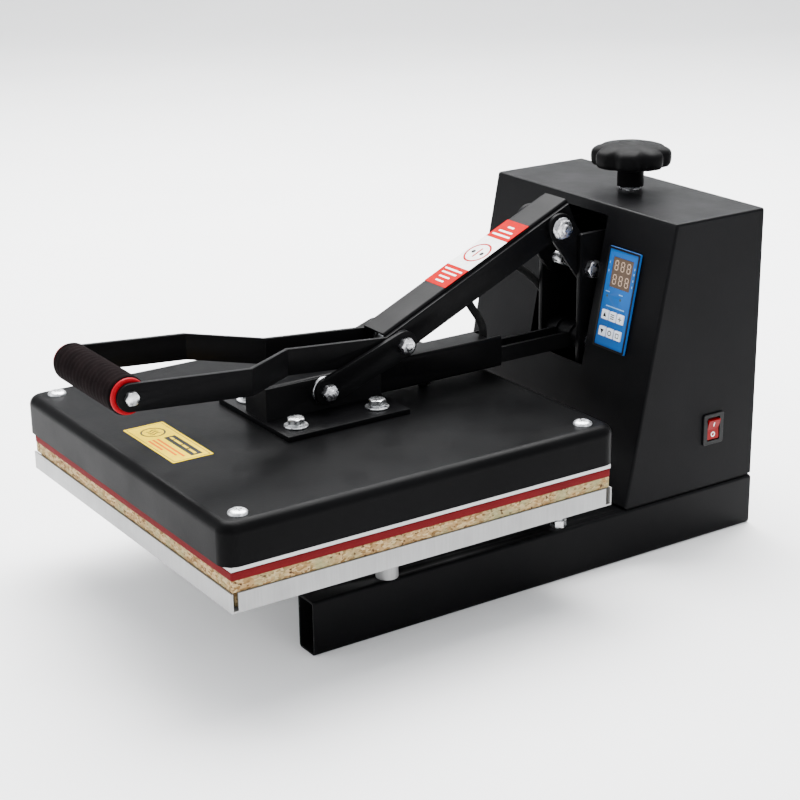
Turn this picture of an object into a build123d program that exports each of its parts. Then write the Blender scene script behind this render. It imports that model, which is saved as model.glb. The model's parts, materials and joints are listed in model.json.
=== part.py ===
from build123d import *
import os
from math import atan2, cos, degrees, pi, radians, sin, tan

# Clamshell heat press with a toggle lever. Millimetres, +Z up, +X to the machine's
# right, -Y to the front where the handle is. The origin is the middle of the footprint.

# ---- press plates ----
PLATE = 380.0            # side of the square heat plate and of the silicone pad
PAD_Y = -97.0            # centre of the press plates
GAP = 0.3                # air between the closed plates
SHEET = 1.5              # sheet-metal thickness

TRAY = 382.0
TRAY_Z, TRAY_H = 91.0, 16.7
TRAY_SLIT = 4.6          # open corner of the tray, between its front or back wall and a side wall
BOARD_TOP = 118.0
BOARD_STEP = 5.0         # rebate around the board where it drops into the tray
PAD_TOP = 125.3
HEAT_Z = PAD_TOP + GAP
FLANGE_T, BOSS, BOSS_T = 4.4, 360.0, 7.0
BOSS_TOP = HEAT_Z + FLANGE_T + BOSS_T
HEATER_R, HEATER_BEND = 4.0, 14.0
HEATER_ROUTE = [(-15, 178), (-15, 130), (-145, 130), (-145, -145), (-85, -145), (-85, 78),
                (85, 78), (85, -145), (145, -145), (145, 130), (15, 130), (15, 178)]
COVER_X, COVER_Y = 384.0, 392.0
COVER_Z = HEAT_Z + FLANGE_T
COVER_TOP = 165.8
COVER_CORNER, COVER_ROLL = 14.0, 9.0
CABLE_HOLE_R, CABLE_HOLE_Y = 7.0, 120.0   # hole under the arm, from the plates' centre
SCREW_AT = 172.0                     # corner screws of the cover
BOLT_AT = 42.0                       # bolts of the mounting plate
THREAD_DEPTH = 7.5                   # of screws and bolts in the heat plate
SCREW_R, SCREW_HEAD_R, SCREW_HEAD_T = 2.5, 8.5, 3.2
MOUNT_BOLT_R, MOUNT_WASHER_R, MOUNT_WASHER_T = 5.0, 11.0, 2.0
MOUNT_HEAD_R, MOUNT_HEAD_T = 9.2, 6.4

# ---- fasteners ----
PIN = 8.0                            # small pivot bolts
BIG_PIN = 12.0                       # hinge shaft, rocker bolts, trunnions
PIN_HEAD_R, PIN_HEAD_T = 7.5, 6.5    # hexagons of the small bolts
TRAY_HEAD_T = 5.5
TIP_R, TIP_T = 3.6, 2.5              # bolt tip beyond its nut
CLEAR = 0.2                          # radial clearance of a bolt hole
RUNNING = 0.1                        # diametral play of a running fit

# ---- base ----
RAIL_W, RAIL_H, RAIL_WALL = 25.0, 50.0, 2.0
RAIL_X = 124.5           # centre of each base rail
RAIL_FRONT, RAIL_BACK = PAD_Y - 86.0, PAD_Y + 413.0
STAND_X = 126.5
STAND_Y = (-5.0, 183.0)              # front sleeves and rear studs, from the plates' centre
SLEEVE_R = 10.0
FOOT_X, FOOT_Y, FOOT_PITCH = 46.0, PAD_Y + 335.0, 70.0
BOLT_END = 36.0                      # lower end of the bolts through the rails and the tower's feet
# cross members as (y, width, height, wall)
CROSS_TUBES = ((PAD_Y + 60, 25, 25, 2), (FOOT_Y, 90, 40, 2.5))

# ---- arm ----
MOUNT, MOUNT_T = 125.0, 4.7
MOUNT_TOP = COVER_TOP + MOUNT_T
CHEEK_T = 3.5
TUBE, TUBE_WALL = 30.0, 2.5          # square tube of the arm
ARM_FRONT, ARM_BACK = PAD_Y - 53.0, PAD_Y + 200.0
ARM_TOP = MOUNT_TOP + TUBE
EAR_X, EAR_T, EAR_H = 8.5, 3.5, 15.0
HINGE_R = 12.0

# ---- pivots in the side view, as (y, z) ----
PIVOT_A = (PAD_Y + 296.0, 182.0)     # arm on the tower
PIVOT_B = (PAD_Y + 1.0, 189.0)       # links on the arm
PIVOT_C = (PAD_Y + 83.0, 217.2)      # links on the lever
PIVOT_D = (PAD_Y + 261.0, 298.0)     # lever on the rocker
PIVOT_P = (PAD_Y + 294.0, 255.0)     # rocker on the tower
PIVOT_N = (PAD_Y + 366.0, 255.0)     # screw nut on the rocker

# ---- lever and handle ----
LEVER_W = 34.0                       # lever tube across, and its faces from the pivot line
LEVER_LOW, LEVER_HIGH = -11.0, 17.0
LEVER_CORNER = 2.5
LEVER_TILT = 24.4                    # slope of the lever's tube
LEVER_FRONT, LEVER_BACK = -10.7, 217.0
HANDLE_FALL = 0.083                  # fall of the handle bars towards the back
GRIP_Y = PAD_Y - 205.5
GRIP_Z = 236.0
GRIP_HALF = 58.0
FOAM_HALF, FOAM_R, COLLAR_R = 55.0, 17.0, 15.6
AXLE_R, AXLE_HEAD_R, AXLE_HEAD_T = 10.9, 6.5, 4.0
BAR_H, BAR_T = 24.0, 4.0
BAR_LOW, BAR_HIGH = -10.0, 14.0      # bar edges along the tube, from the pivot line
JOG_FRONT, JOG_BACK = PAD_Y - 94.0, PAD_Y - 36.0
BUSH_R = 7.5                         # cross pin and bush through the lever
WASHER_R = 12.5                      # wide washers at pivots B and C
LINK_W = 25.0

# ---- side-view layers, as distances from the middle plane ----
BAR_IN = LEVER_W / 2
BAR_OUT = BAR_IN + BAR_T
CRANK_IN, CRANK_OUT = BAR_OUT + 0.6, BAR_OUT + 5.0
LINK_IN, LINK_OUT = BAR_OUT + 1.0, BAR_OUT + 6.0
TOWER_IN, TOWER_OUT = 26.6, 31.6

# ---- rocker, pressure screw and tower ----
CRANK_EYES = {"lever": 14.0, "tower": 15.0, "nut": 12.0}
ROCKER_WASHER_R, ROCKER_WASHER_T = 10.5, 2.0
ROCKER_HEAD_R, ROCKER_HEAD_T = 9.0, 6.5
SPINDLE_R, SPINDLE_COLLAR_R, SPINDLE_LOW = 6.0, 10.0, 228.0
BEARING_Z, BEARING_T = 282.0, 8.0
KNOB_Y = PIVOT_N[0]
KNOB_R, KNOB_Z, KNOB_TOP = 39.0, 340.0, 362.0
KNOB_LOBES, LOBE_FILLET = 8, 3.5
NECK_R, NECK_Z = 13.0, 320.0
TOWER_FRONT, TOWER_BACK, TOWER_TOP = PAD_Y + 280.0, PAD_Y + 388.0, 290.0
FOOT_W, FOOT_T = 28.8, 4.0

# ---- cabinet ----
CAB_HALF = 136.0
CAB_BACK = PAD_Y + 413.0
CAB_BOTTOM, CAB_TOP = 52.5, 317.0
CAB_FRONT_LOW, CAB_FRONT_TOP = PAD_Y + 254.6, PAD_Y + 306.6
FRONT_TILT = atan2(CAB_FRONT_TOP - CAB_FRONT_LOW, CAB_TOP - CAB_BOTTOM)
FLOOR_T = 2.5
SLOT_LEFT, SLOT_RIGHT, SLOT_LOW, SLOT_HIGH = -43.0, 41.0, 164.0, 307.0
TAB_X, TAB_Z = CAB_HALF - 10.0, (CAB_TOP - CAB_BOTTOM) / 2 - 12.0   # back screws from the middle
VENTS, VENT_Z, VENT_PITCH = 8, 245.0, 9.0

# ---- control panel ----
PANEL_X, PANEL_Z = 76.25, 234.5
PANEL_W, PANEL_H = 44.5, 96.0
FASCIA_T = 2.6
KEY_W, KEY_H = 9.4, 9.0
KEY_PITCH_X, KEY_PITCH_Y = 10.9, 15.8
KEY_X, KEY_Y = -0.7, -24.2           # middle of the key field, from the panel's middle
WINDOW_W, WINDOW_H, WINDOW_X, WINDOW_Y = 28.5, 29.0, 0.5, 25.0
LED_AT, LED_R = ((-14.2, 1.4), (4.9, 1.0)), 1.5
HOUSING_DEPTH, HOUSING_WALL = 26.0, 1.8
BOARD_BACK, BOARD_T = -8.0, 1.6      # circuit board's back face from the cabinet's front face

# ---- electrical parts ----
SWITCH_Y, SWITCH_Z = PAD_Y + 360.0, 110.0
ROCKER_TILT = 7.0
ROCKER_X = CAB_HALF - 3.0            # pivot line of the switch's paddle
PADDLE_W, HUB_R = 14.2, 3.8
INLET_X, INLET_Z = 95.0, 92.0
INLET_FLANGE_T, INLET_SCREW_X = 2.4, 20.0
RELAY_X, RELAY_Y = -92.0, PAD_Y + 350.0
LEAD_D = 8.0
LEAD_ROUTE = [(0, 118, 158), (0, 122, 182), (0, 146, 187), (0, 172, 187), (-2, 192, 194),
              (-5, 191, 212), (-14, 180, 232), (-30, 184, 252), (-36, 210, 263),
              (-37, 244, 256), (-37, 272, 238), (-38, 294, 214), (-48, 312, 184),
              (-64, 326, 154), (-80, 340, 126), (-88, 349, 102), (-88, 350, 80.5)]

os.makedirs("parts", exist_ok=True)


def save(piece, label):
    """Label a finished piece and write it as its own STEP file."""
    piece.part.label = label
    export_step(piece.part, f"parts/{label}.step")


def side(x):
    """Side-view plane at x: its axes are (y, z) and it faces +X."""
    return Plane.YZ.offset(x)


def level(z):
    """Plan-view plane at height z, with its origin over the middle of the plates."""
    return Plane(origin=(0, PAD_Y, z))


def facing_front(y):
    """Front-view plane at y: its axes are (x, z) and it faces -Y."""
    return Plane.XZ.offset(-y)


# ---------------------------------------------------------------- base
def rail(label, x):
    with BuildPart() as tube:
        with BuildSketch(facing_front(RAIL_BACK)):
            with Locations((x, RAIL_H / 2)):
                RectangleRounded(RAIL_W, RAIL_H, 3)
                RectangleRounded(RAIL_W - 2 * RAIL_WALL, RAIL_H - 2 * RAIL_WALL, 1.2,
                                 mode=Mode.SUBTRACT)
        extrude(amount=RAIL_BACK - RAIL_FRONT)
        with BuildSketch(level(RAIL_H - 2 * RAIL_WALL)):
            for y in STAND_Y:
                with Locations((STAND_X if x > 0 else -STAND_X, y)):
                    Circle(PIN / 2 + CLEAR)
        extrude(amount=3 * RAIL_WALL, mode=Mode.SUBTRACT)
    save(tube, label)


def foot_places():
    return GridLocations(2 * FOOT_X, FOOT_PITCH, 2, 2)


def cross_members():
    """Two tubes welded between the rails: a light one in front, a wide one under the tower."""
    length = 2 * RAIL_X - RAIL_W
    with BuildPart() as tubes:
        for y, width, height, wall in CROSS_TUBES:
            with BuildSketch(side(-length / 2)):
                with Locations((y, RAIL_H - height / 2)):
                    Rectangle(width, height)
                    Rectangle(width - 2 * wall, height - 2 * wall, mode=Mode.SUBTRACT)
            extrude(amount=length)
        with BuildSketch(Plane.XY.offset(RAIL_H - 5)):
            with Locations((0, FOOT_Y)):
                with foot_places():
                    Circle(PIN / 2 + CLEAR)
        extrude(amount=6, mode=Mode.SUBTRACT)
    save(tubes, "cross_members")


def standoff_sleeves():
    with BuildPart() as sleeves:
        with BuildSketch(level(RAIL_H)):
            with Locations((-STAND_X, STAND_Y[0]), (STAND_X, STAND_Y[0])):
                Circle(SLEEVE_R)
                Circle(PIN / 2 + CLEAR, mode=Mode.SUBTRACT)
        extrude(amount=TRAY_Z - RAIL_H)
    save(sleeves, "standoff_sleeves")


def tray_bolts():
    """Four bolts with heads in the tray and nuts in the rails; studs carry two nuts more."""
    under_rail = RAIL_H - RAIL_WALL - PIN_HEAD_T
    nut_heights = {STAND_Y[0]: (under_rail,),
                   STAND_Y[1]: (under_rail, RAIL_H, TRAY_Z - PIN_HEAD_T)}
    with BuildPart() as bolts:
        for x in (-STAND_X, STAND_X):
            for y in STAND_Y:
                with BuildSketch(level(BOLT_END)):
                    with Locations((x, y)):
                        Circle(PIN / 2)
                extrude(amount=TRAY_Z + SHEET - BOLT_END)
                with BuildSketch(level(TRAY_Z + SHEET)):
                    with Locations((x, y)):
                        RegularPolygon(PIN_HEAD_R, 6)
                extrude(amount=TRAY_HEAD_T)
                for z in nut_heights[y]:
                    with BuildSketch(level(z)):
                        with Locations((x, y)):
                            RegularPolygon(PIN_HEAD_R, 6)
                    extrude(amount=PIN_HEAD_T)
    save(bolts, "tray_bolts")


def lower_tray():
    """Folded sheet tray whose side walls stop short of its front and back walls."""
    with BuildPart() as tray:
        with BuildSketch(level(TRAY_Z)):
            Rectangle(TRAY, TRAY)
        extrude(amount=TRAY_H)
        with BuildSketch(level(TRAY_Z + SHEET)):
            Rectangle(TRAY - 2 * SHEET, TRAY - 2 * SHEET)
        extrude(amount=TRAY_H, mode=Mode.SUBTRACT)
        with BuildSketch(level(TRAY_Z + SHEET)):
            with GridLocations(TRAY, TRAY - 2 * SHEET - TRAY_SLIT, 2, 2):
                Rectangle(4 * SHEET, TRAY_SLIT)
        extrude(amount=TRAY_H, mode=Mode.SUBTRACT)
        with BuildSketch(level(TRAY_Z)):
            for x in (-STAND_X, STAND_X):
                for y in STAND_Y:
                    with Locations((x, y)):
                        Circle(PIN / 2 + CLEAR)
        extrude(amount=SHEET, mode=Mode.SUBTRACT)
    save(tray, "lower_tray")


def press_board():
    """Particle board, rebated to drop into the tray, with pockets for the bolt heads."""
    side_length = PLATE - 1.4
    lower_length = side_length - 2 * BOARD_STEP
    with BuildPart() as board:
        with BuildSketch(level(TRAY_Z + SHEET)):
            Rectangle(lower_length, lower_length)
        extrude(amount=TRAY_H - SHEET)
        with BuildSketch(level(TRAY_Z + TRAY_H)):
            Rectangle(side_length, side_length)
        extrude(amount=BOARD_TOP - TRAY_Z - TRAY_H)
        with BuildSketch(level(TRAY_Z + SHEET)):
            for x in (-STAND_X, STAND_X):
                for y in STAND_Y:
                    with Locations((x, y)):
                        Circle(10)
        extrude(amount=8, mode=Mode.SUBTRACT)
    save(board, "press_board")


def silicone_pad():
    with BuildPart() as pad:
        with BuildSketch(level(BOARD_TOP)):
            RectangleRounded(PLATE, PLATE, 2)
        extrude(amount=PAD_TOP - BOARD_TOP)
    save(pad, "silicone_pad")


# ---------------------------------------------------------------- heated platen
def four(at):
    return GridLocations(2 * at, 2 * at, 2, 2)


def heater_sweep(radius, mode):
    """Round bar along the heater's route, bent around the bolts."""
    with BuildLine(level(BOSS_TOP)) as route:
        FilletPolyline(*HEATER_ROUTE, radius=HEATER_BEND)
    with BuildSketch(Plane(origin=route.line @ 0, z_dir=route.line % 0)) as section:
        Circle(radius)
    sweep(section.sketch, path=route.line, mode=mode)


def heat_plate():
    """Cast plate with a thin full-size edge, and a thicker middle that holds the heater."""
    with BuildPart() as plate:
        with BuildSketch(level(HEAT_Z)):
            Rectangle(PLATE, PLATE)
        extrude(amount=FLANGE_T)
        with BuildSketch(level(COVER_Z)):
            RectangleRounded(BOSS, BOSS, 6)
        extrude(amount=BOSS_T)
        with BuildSketch(level(BOSS_TOP - THREAD_DEPTH - 0.5)):
            with four(SCREW_AT):
                Circle(SCREW_R + 0.1)
            with four(BOLT_AT):
                Circle(MOUNT_BOLT_R + 0.1)
        extrude(amount=THREAD_DEPTH + 0.5, mode=Mode.SUBTRACT)
        heater_sweep(HEATER_R + CLEAR, Mode.SUBTRACT)
    save(plate, "heat_plate")


def heating_element():
    with BuildPart() as element:
        heater_sweep(HEATER_R, Mode.ADD)
    save(element, "heating_element")


def insulation():
    """Mineral wool slab over the heater, with holes for the middle spacers."""
    above_heater, length, width, thickness = 4.6, 330, 300, 15
    with BuildPart() as slab:
        with BuildSketch(level(BOSS_TOP + above_heater)):
            Rectangle(length, width)
            with four(BOLT_AT):
                Circle(11, mode=Mode.SUBTRACT)
        extrude(amount=thickness)
    save(slab, "insulation")


def thermocouple():
    """Probe that lies on the heat plate between the heater's runs."""
    radius, rear, length = 2.2, PAD_Y + 178, 90
    with BuildPart() as probe:
        with BuildSketch(facing_front(rear)):
            with Locations((0, BOSS_TOP + radius)):
                Circle(radius)
        extrude(amount=length)
    save(probe, "thermocouple")


def platen_spacers():
    """Tubes between the heat plate and the cover's top sheet, around every bolt and screw."""
    with BuildPart() as tubes:
        with BuildSketch(level(BOSS_TOP)):
            with four(SCREW_AT):
                Circle(6)
                Circle(SCREW_R + CLEAR, mode=Mode.SUBTRACT)
            with four(BOLT_AT):
                Circle(10)
                Circle(MOUNT_BOLT_R + CLEAR, mode=Mode.SUBTRACT)
        extrude(amount=COVER_TOP - SHEET - BOSS_TOP)
    save(tubes, "platen_spacers")


def heat_cover():
    """Pressed sheet cover, open underneath, with rolled top edges."""
    with BuildPart() as cover:
        with BuildSketch(level(COVER_Z)):
            RectangleRounded(COVER_X, COVER_Y, COVER_CORNER)
        extrude(amount=COVER_TOP - COVER_Z)
        fillet(cover.faces().sort_by(Axis.Z)[-1].edges(), COVER_ROLL)
        offset(amount=-SHEET, openings=cover.faces().sort_by(Axis.Z)[0])
        with BuildSketch(level(COVER_TOP - 2 * SHEET)):
            with four(SCREW_AT):
                Circle(SCREW_R + CLEAR)
            with four(BOLT_AT):
                Circle(MOUNT_BOLT_R + CLEAR)
            with Locations((0, CABLE_HOLE_Y)):
                Circle(CABLE_HOLE_R)
        extrude(amount=3 * SHEET, mode=Mode.SUBTRACT)
    save(cover, "heat_cover")


def cover_screws():
    """Four screws with wide domed heads that hold the cover down on its spacers."""
    with BuildPart() as screws:
        with BuildSketch(level(BOSS_TOP - THREAD_DEPTH)):
            with four(SCREW_AT):
                Circle(SCREW_R)
        extrude(amount=COVER_TOP - BOSS_TOP + THREAD_DEPTH)
        with BuildSketch(level(COVER_TOP)):
            with four(SCREW_AT):
                Circle(SCREW_HEAD_R)
        extrude(amount=SCREW_HEAD_T)
        fillet(screws.faces().sort_by(Axis.Z)[-4:].edges(), 0.75 * SCREW_HEAD_T)
    save(screws, "cover_screws")


def mounting_bolts():
    """Four bolts with wide washers that hang the platen on the arm's plate."""
    with BuildPart() as bolts:
        with BuildSketch(level(BOSS_TOP - THREAD_DEPTH)):
            with four(BOLT_AT):
                Circle(MOUNT_BOLT_R)
        extrude(amount=MOUNT_TOP + MOUNT_WASHER_T - BOSS_TOP + THREAD_DEPTH)
        with BuildSketch(level(MOUNT_TOP)):
            with four(BOLT_AT):
                Circle(MOUNT_WASHER_R)
        extrude(amount=MOUNT_WASHER_T)
        with BuildSketch(level(MOUNT_TOP + MOUNT_WASHER_T)):
            with four(BOLT_AT):
                RegularPolygon(MOUNT_HEAD_R, 6)
        extrude(amount=MOUNT_HEAD_T)
    save(bolts, "mounting_bolts")


# ---------------------------------------------------------------- arm
def arm_bracket():
    """Square plate with two cheeks and a closed front around the arm, welded into one."""
    half = TUBE / 2 + 0.1
    with BuildPart() as bracket:
        with BuildSketch(level(COVER_TOP)):
            with Locations((0, 1)):
                Rectangle(MOUNT, MOUNT)
            with four(BOLT_AT):
                Circle(MOUNT_BOLT_R + CLEAR, mode=Mode.SUBTRACT)
        extrude(amount=MOUNT_T)
        with BuildSketch(level(MOUNT_TOP)):
            with Locations((0, 2)):
                Rectangle(2 * (half + CHEEK_T), 120)
            with Locations((0, 7)):
                Rectangle(2 * half, 122, mode=Mode.SUBTRACT)
        extrude(amount=TUBE)
        with BuildSketch(side(-TUBE)):
            with Locations(PIVOT_B):
                Circle(PIN / 2 + CLEAR / 2)
        extrude(amount=2 * TUBE, mode=Mode.SUBTRACT)
    save(bracket, "arm_bracket")


def arm_tube():
    """Square tube with its top wall cut back at the open rear end, where the lead comes out."""
    inner = TUBE - 2 * TUBE_WALL
    with BuildPart() as tube:
        with BuildSketch(facing_front(ARM_BACK)):
            with Locations((0, MOUNT_TOP + TUBE / 2)):
                RectangleRounded(TUBE, TUBE, 3)
                RectangleRounded(inner, inner, 0.8, mode=Mode.SUBTRACT)
        extrude(amount=ARM_BACK - ARM_FRONT)
        with BuildSketch(level(ARM_TOP - TUBE_WALL - 1)):
            with Locations((0, 200)):
                Rectangle(inner - 1, 28)
        extrude(amount=2 * TUBE_WALL, mode=Mode.SUBTRACT)
        with BuildSketch(side(-TUBE)):
            with Locations(PIVOT_B):
                Circle(PIN / 2 + CLEAR / 2)
        extrude(amount=2 * TUBE, mode=Mode.SUBTRACT)
        with BuildSketch(level(MOUNT_TOP - 1)):
            with Locations((0, CABLE_HOLE_Y)):
                Circle(CABLE_HOLE_R)
        extrude(amount=TUBE_WALL + 1.5, mode=Mode.SUBTRACT)
    save(tube, "arm_tube")


def hinge_ears():
    """Two bars inside the arm's rear end, welded to the hinge barrel behind it."""
    y, z = PIVOT_A
    front, low = PAD_Y + 130, MOUNT_TOP + TUBE_WALL + 0.2
    with BuildPart() as ears:
        for x in (-EAR_X - EAR_T, EAR_X):
            with BuildSketch(side(x)):
                with BuildLine():
                    Polyline((front, low), (y, low), (y, low + EAR_H), (front, low + EAR_H), close=True)
                make_face()
                with Locations((y, z)):
                    Circle(HINGE_R + 2)
            extrude(amount=EAR_T)
        with BuildSketch(side(-TOWER_IN + 0.5)):
            with Locations((y, z)):
                Circle(HINGE_R)
        extrude(amount=2 * (TOWER_IN - 0.5))
        with BuildSketch(side(-TOWER_IN)):
            with Locations((y, z)):
                Circle((BIG_PIN + RUNNING) / 2)
        extrude(amount=2 * TOWER_IN, mode=Mode.SUBTRACT)
    save(ears, "hinge_ears")


def cross_bolt(label, at, radius, reach, head_r, head_t, tip=0.0, washer=None):
    """Bolt across the machine with a hexagon at both ends.

    A tip stands beyond the nut; a washer is (inner x, outer x, radius), on both sides.
    """
    with BuildPart() as bolt:
        with BuildSketch(side(-reach)):
            with Locations(at):
                Circle(radius)
        extrude(amount=2 * reach)
        for start, amount in ((reach, head_t), (-reach, -head_t)):
            with BuildSketch(side(start)):
                with Locations(at):
                    RegularPolygon(head_r, 6)
            extrude(amount=amount)
        if tip:
            with BuildSketch(side(reach + head_t)):
                with Locations(at):
                    Circle(TIP_R)
            extrude(amount=tip)
            chamfer(bolt.faces().sort_by(Axis.X)[-1].edges(), tip * 0.45)
        if washer:
            for sign in (-1, 1):
                with BuildSketch(side(sign * washer[0])):
                    with Locations(at):
                        Circle(washer[2])
                extrude(amount=sign * (washer[1] - washer[0]))
    save(bolt, label)


# ---------------------------------------------------------------- links
def link(label, x):
    (by, bz), (cy, cz) = PIVOT_B, PIVOT_C
    slope = degrees(atan2(cz - bz, cy - by))
    span = ((cy - by) ** 2 + (cz - bz) ** 2) ** 0.5
    with BuildPart() as plate:
        with BuildSketch(side(x)):
            with Locations(Location(((by + cy) / 2, (bz + cz) / 2), slope)):
                SlotCenterToCenter(span, LINK_W)
            with Locations(PIVOT_B):
                Circle((PIN + RUNNING) / 2, mode=Mode.SUBTRACT)
            with Locations(PIVOT_C):
                Circle(PIN / 2, mode=Mode.SUBTRACT)
        extrude(amount=LINK_OUT - LINK_IN)
        fillet(plate.faces().filter_by(Axis.X).edges().filter_by(GeomType.LINE), 0.6)
    save(plate, label)


def link_studs():
    """Outer halves of the lever pivot's bolt: a stub in each link, with its hexagon outside."""
    with BuildPart() as studs:
        for sign in (-1, 1):
            with BuildSketch(side(sign * (LINK_IN + 0.1))):
                with Locations(PIVOT_C):
                    Circle(PIN / 2)
            extrude(amount=sign * (LINK_OUT - LINK_IN - 0.1))
            with BuildSketch(side(sign * LINK_OUT)):
                with Locations(PIVOT_C):
                    RegularPolygon(PIN_HEAD_R, 6)
            extrude(amount=sign * PIN_HEAD_T)
            with BuildSketch(side(sign * (LINK_OUT + PIN_HEAD_T))):
                with Locations(PIVOT_C):
                    Circle(TIP_R)
            extrude(amount=sign * TIP_T)
    save(studs, "link_studs")


# ---------------------------------------------------------------- lever
def lever_frame(x):
    """Plane of the lever's side view, with its origin at pivot C and its x axis up the tube."""
    tilt = radians(LEVER_TILT)
    return Plane(origin=(x, *PIVOT_C), x_dir=(0, cos(tilt), sin(tilt)), z_dir=(1, 0, 0))


def lever_holes():
    """Holes across the lever for its two pivots."""
    with BuildSketch(side(-TUBE)) as holes:
        with Locations(PIVOT_C, PIVOT_D):
            Circle(BUSH_R)
    extrude(holes.sketch, amount=2 * TUBE, mode=Mode.SUBTRACT)


def lever_tube():
    frame = lever_frame(0)
    height = LEVER_HIGH - LEVER_LOW
    start = frame.from_local_coords((LEVER_FRONT, (LEVER_LOW + LEVER_HIGH) / 2, 0))
    with BuildPart() as tube:
        with BuildSketch(Plane(origin=start, x_dir=(1, 0, 0), z_dir=frame.x_dir)):
            RectangleRounded(LEVER_W, height, LEVER_CORNER)
            RectangleRounded(LEVER_W - 2 * TUBE_WALL, height - 2 * TUBE_WALL, 0.8,
                             mode=Mode.SUBTRACT)
        extrude(amount=LEVER_BACK - LEVER_FRONT)
        lever_holes()
    save(tube, "lever_tube")


def bar_outline():
    """Side outline of a handle bar: level run to the grip, then the slope along the tube."""
    tilt = tan(radians(LEVER_TILT))
    rise = 1 / cos(radians(LEVER_TILT))
    (cy, cz) = PIVOT_C

    def handle_z(y, drop):
        return GRIP_Z + BAR_H / 2 - drop - HANDLE_FALL * (y - GRIP_Y)

    def slope_z(y, height):
        return cz + (y - cy) * tilt + height * rise

    def kink_y(drop, height):
        reach = GRIP_Z + BAR_H / 2 - drop + HANDLE_FALL * GRIP_Y - cz + cy * tilt - height * rise
        return reach / (tilt + HANDLE_FALL)

    top, low = kink_y(0, BAR_HIGH), kink_y(BAR_H, BAR_LOW)
    end = PIVOT_D[0] + 12
    return [(GRIP_Y, handle_z(GRIP_Y, 0)), (top, handle_z(top, 0)), (end, slope_z(end, BAR_HIGH)),
            (end + 10, slope_z(end + 10, BAR_LOW)), (low, handle_z(low, BAR_H)),
            (GRIP_Y, handle_z(GRIP_Y, BAR_H))]


def fork_bar(label, sign):
    """Flat bar beside the lever's tube that jogs outwards to one end of the grip."""
    wide, narrow = GRIP_HALF, BAR_IN
    inner = [(wide, GRIP_Y - 20), (wide, JOG_FRONT), (narrow, JOG_BACK), (narrow, PIVOT_D[0] + 40)]
    outer = [(x + BAR_T, y) for x, y in reversed(inner)]
    with BuildPart() as bar:
        with BuildSketch(side(0)):
            with BuildLine():
                Polyline(*bar_outline(), close=True)
            make_face()
            with Locations((GRIP_Y, GRIP_Z)):
                Circle(BAR_H / 2)
        extrude(amount=sign * (wide + 2 * BAR_T))
        with BuildSketch(Plane.XY):
            with BuildLine():
                Polyline(*[(sign * x, y) for x, y in inner + outer], close=True)
            make_face()
        extrude(amount=CAB_TOP + 50, mode=Mode.INTERSECT)
        lever_holes()
        with BuildSketch(side(0)):
            with Locations((GRIP_Y, GRIP_Z)):
                Circle(PIN / 2 + CLEAR / 2)
        extrude(amount=sign * (wide + 2 * BAR_T), mode=Mode.SUBTRACT)
    save(bar, label)


def lever_bushes():
    """Solid cross pin with wide washers at the links' pivot, and a bored bush at the rocker's."""
    with BuildPart() as bushes:
        with BuildSketch(side(-BAR_OUT)):
            with Locations(PIVOT_C, PIVOT_D):
                Circle(BUSH_R)
            with Locations(PIVOT_D):
                Circle((BIG_PIN + RUNNING) / 2, mode=Mode.SUBTRACT)
        extrude(amount=2 * BAR_OUT)
        for sign in (-1, 1):
            with BuildSketch(side(sign * BAR_OUT)):
                with Locations(PIVOT_C):
                    Circle(WASHER_R)
            extrude(amount=sign * 0.6)
    save(bushes, "lever_bushes")


def grip_foam():
    """Foam sleeve along the whole grip, eased at both ends."""
    with BuildPart() as sleeve:
        with BuildSketch(side(-FOAM_HALF)):
            with Locations((GRIP_Y, GRIP_Z)):
                Circle(FOAM_R)
                Circle(AXLE_R + 0.1, mode=Mode.SUBTRACT)
        extrude(amount=2 * FOAM_HALF)
        ends = sleeve.faces().filter_by(Axis.X)
        fillet([face.outer_wire().edge() for face in ends], 1.5)
    save(sleeve, "grip_foam")


def grip_collars():
    """Ring at each end of the foam, a little smaller than it."""
    with BuildPart() as rings:
        for sign in (-1, 1):
            with BuildSketch(side(sign * FOAM_HALF)):
                with Locations((GRIP_Y, GRIP_Z)):
                    Circle(COLLAR_R)
                    Circle(AXLE_R + 0.1, mode=Mode.SUBTRACT)
            extrude(amount=sign * (GRIP_HALF - 0.1 - FOAM_HALF))
        outside = rings.faces().filter_by(Axis.X).sort_by(Axis.X)
        fillet([outside[0].outer_wire().edge(), outside[-1].outer_wire().edge()], 1.2)
    save(rings, "grip_collars")


def grip_axle():
    """Round bar through the grip, reduced at both ends and held by hexagon heads."""
    with BuildPart() as axle:
        for half_length, radius in ((GRIP_HALF - 0.1, AXLE_R), (GRIP_HALF + BAR_T, PIN / 2)):
            with BuildSketch(side(-half_length)):
                with Locations((GRIP_Y, GRIP_Z)):
                    Circle(radius)
            extrude(amount=2 * half_length)
        for sign in (-1, 1):
            with BuildSketch(side(sign * (GRIP_HALF + BAR_T))):
                with Locations((GRIP_Y, GRIP_Z)):
                    RegularPolygon(AXLE_HEAD_R, 6)
            extrude(amount=sign * AXLE_HEAD_T)
    save(axle, "grip_axle")


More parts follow.
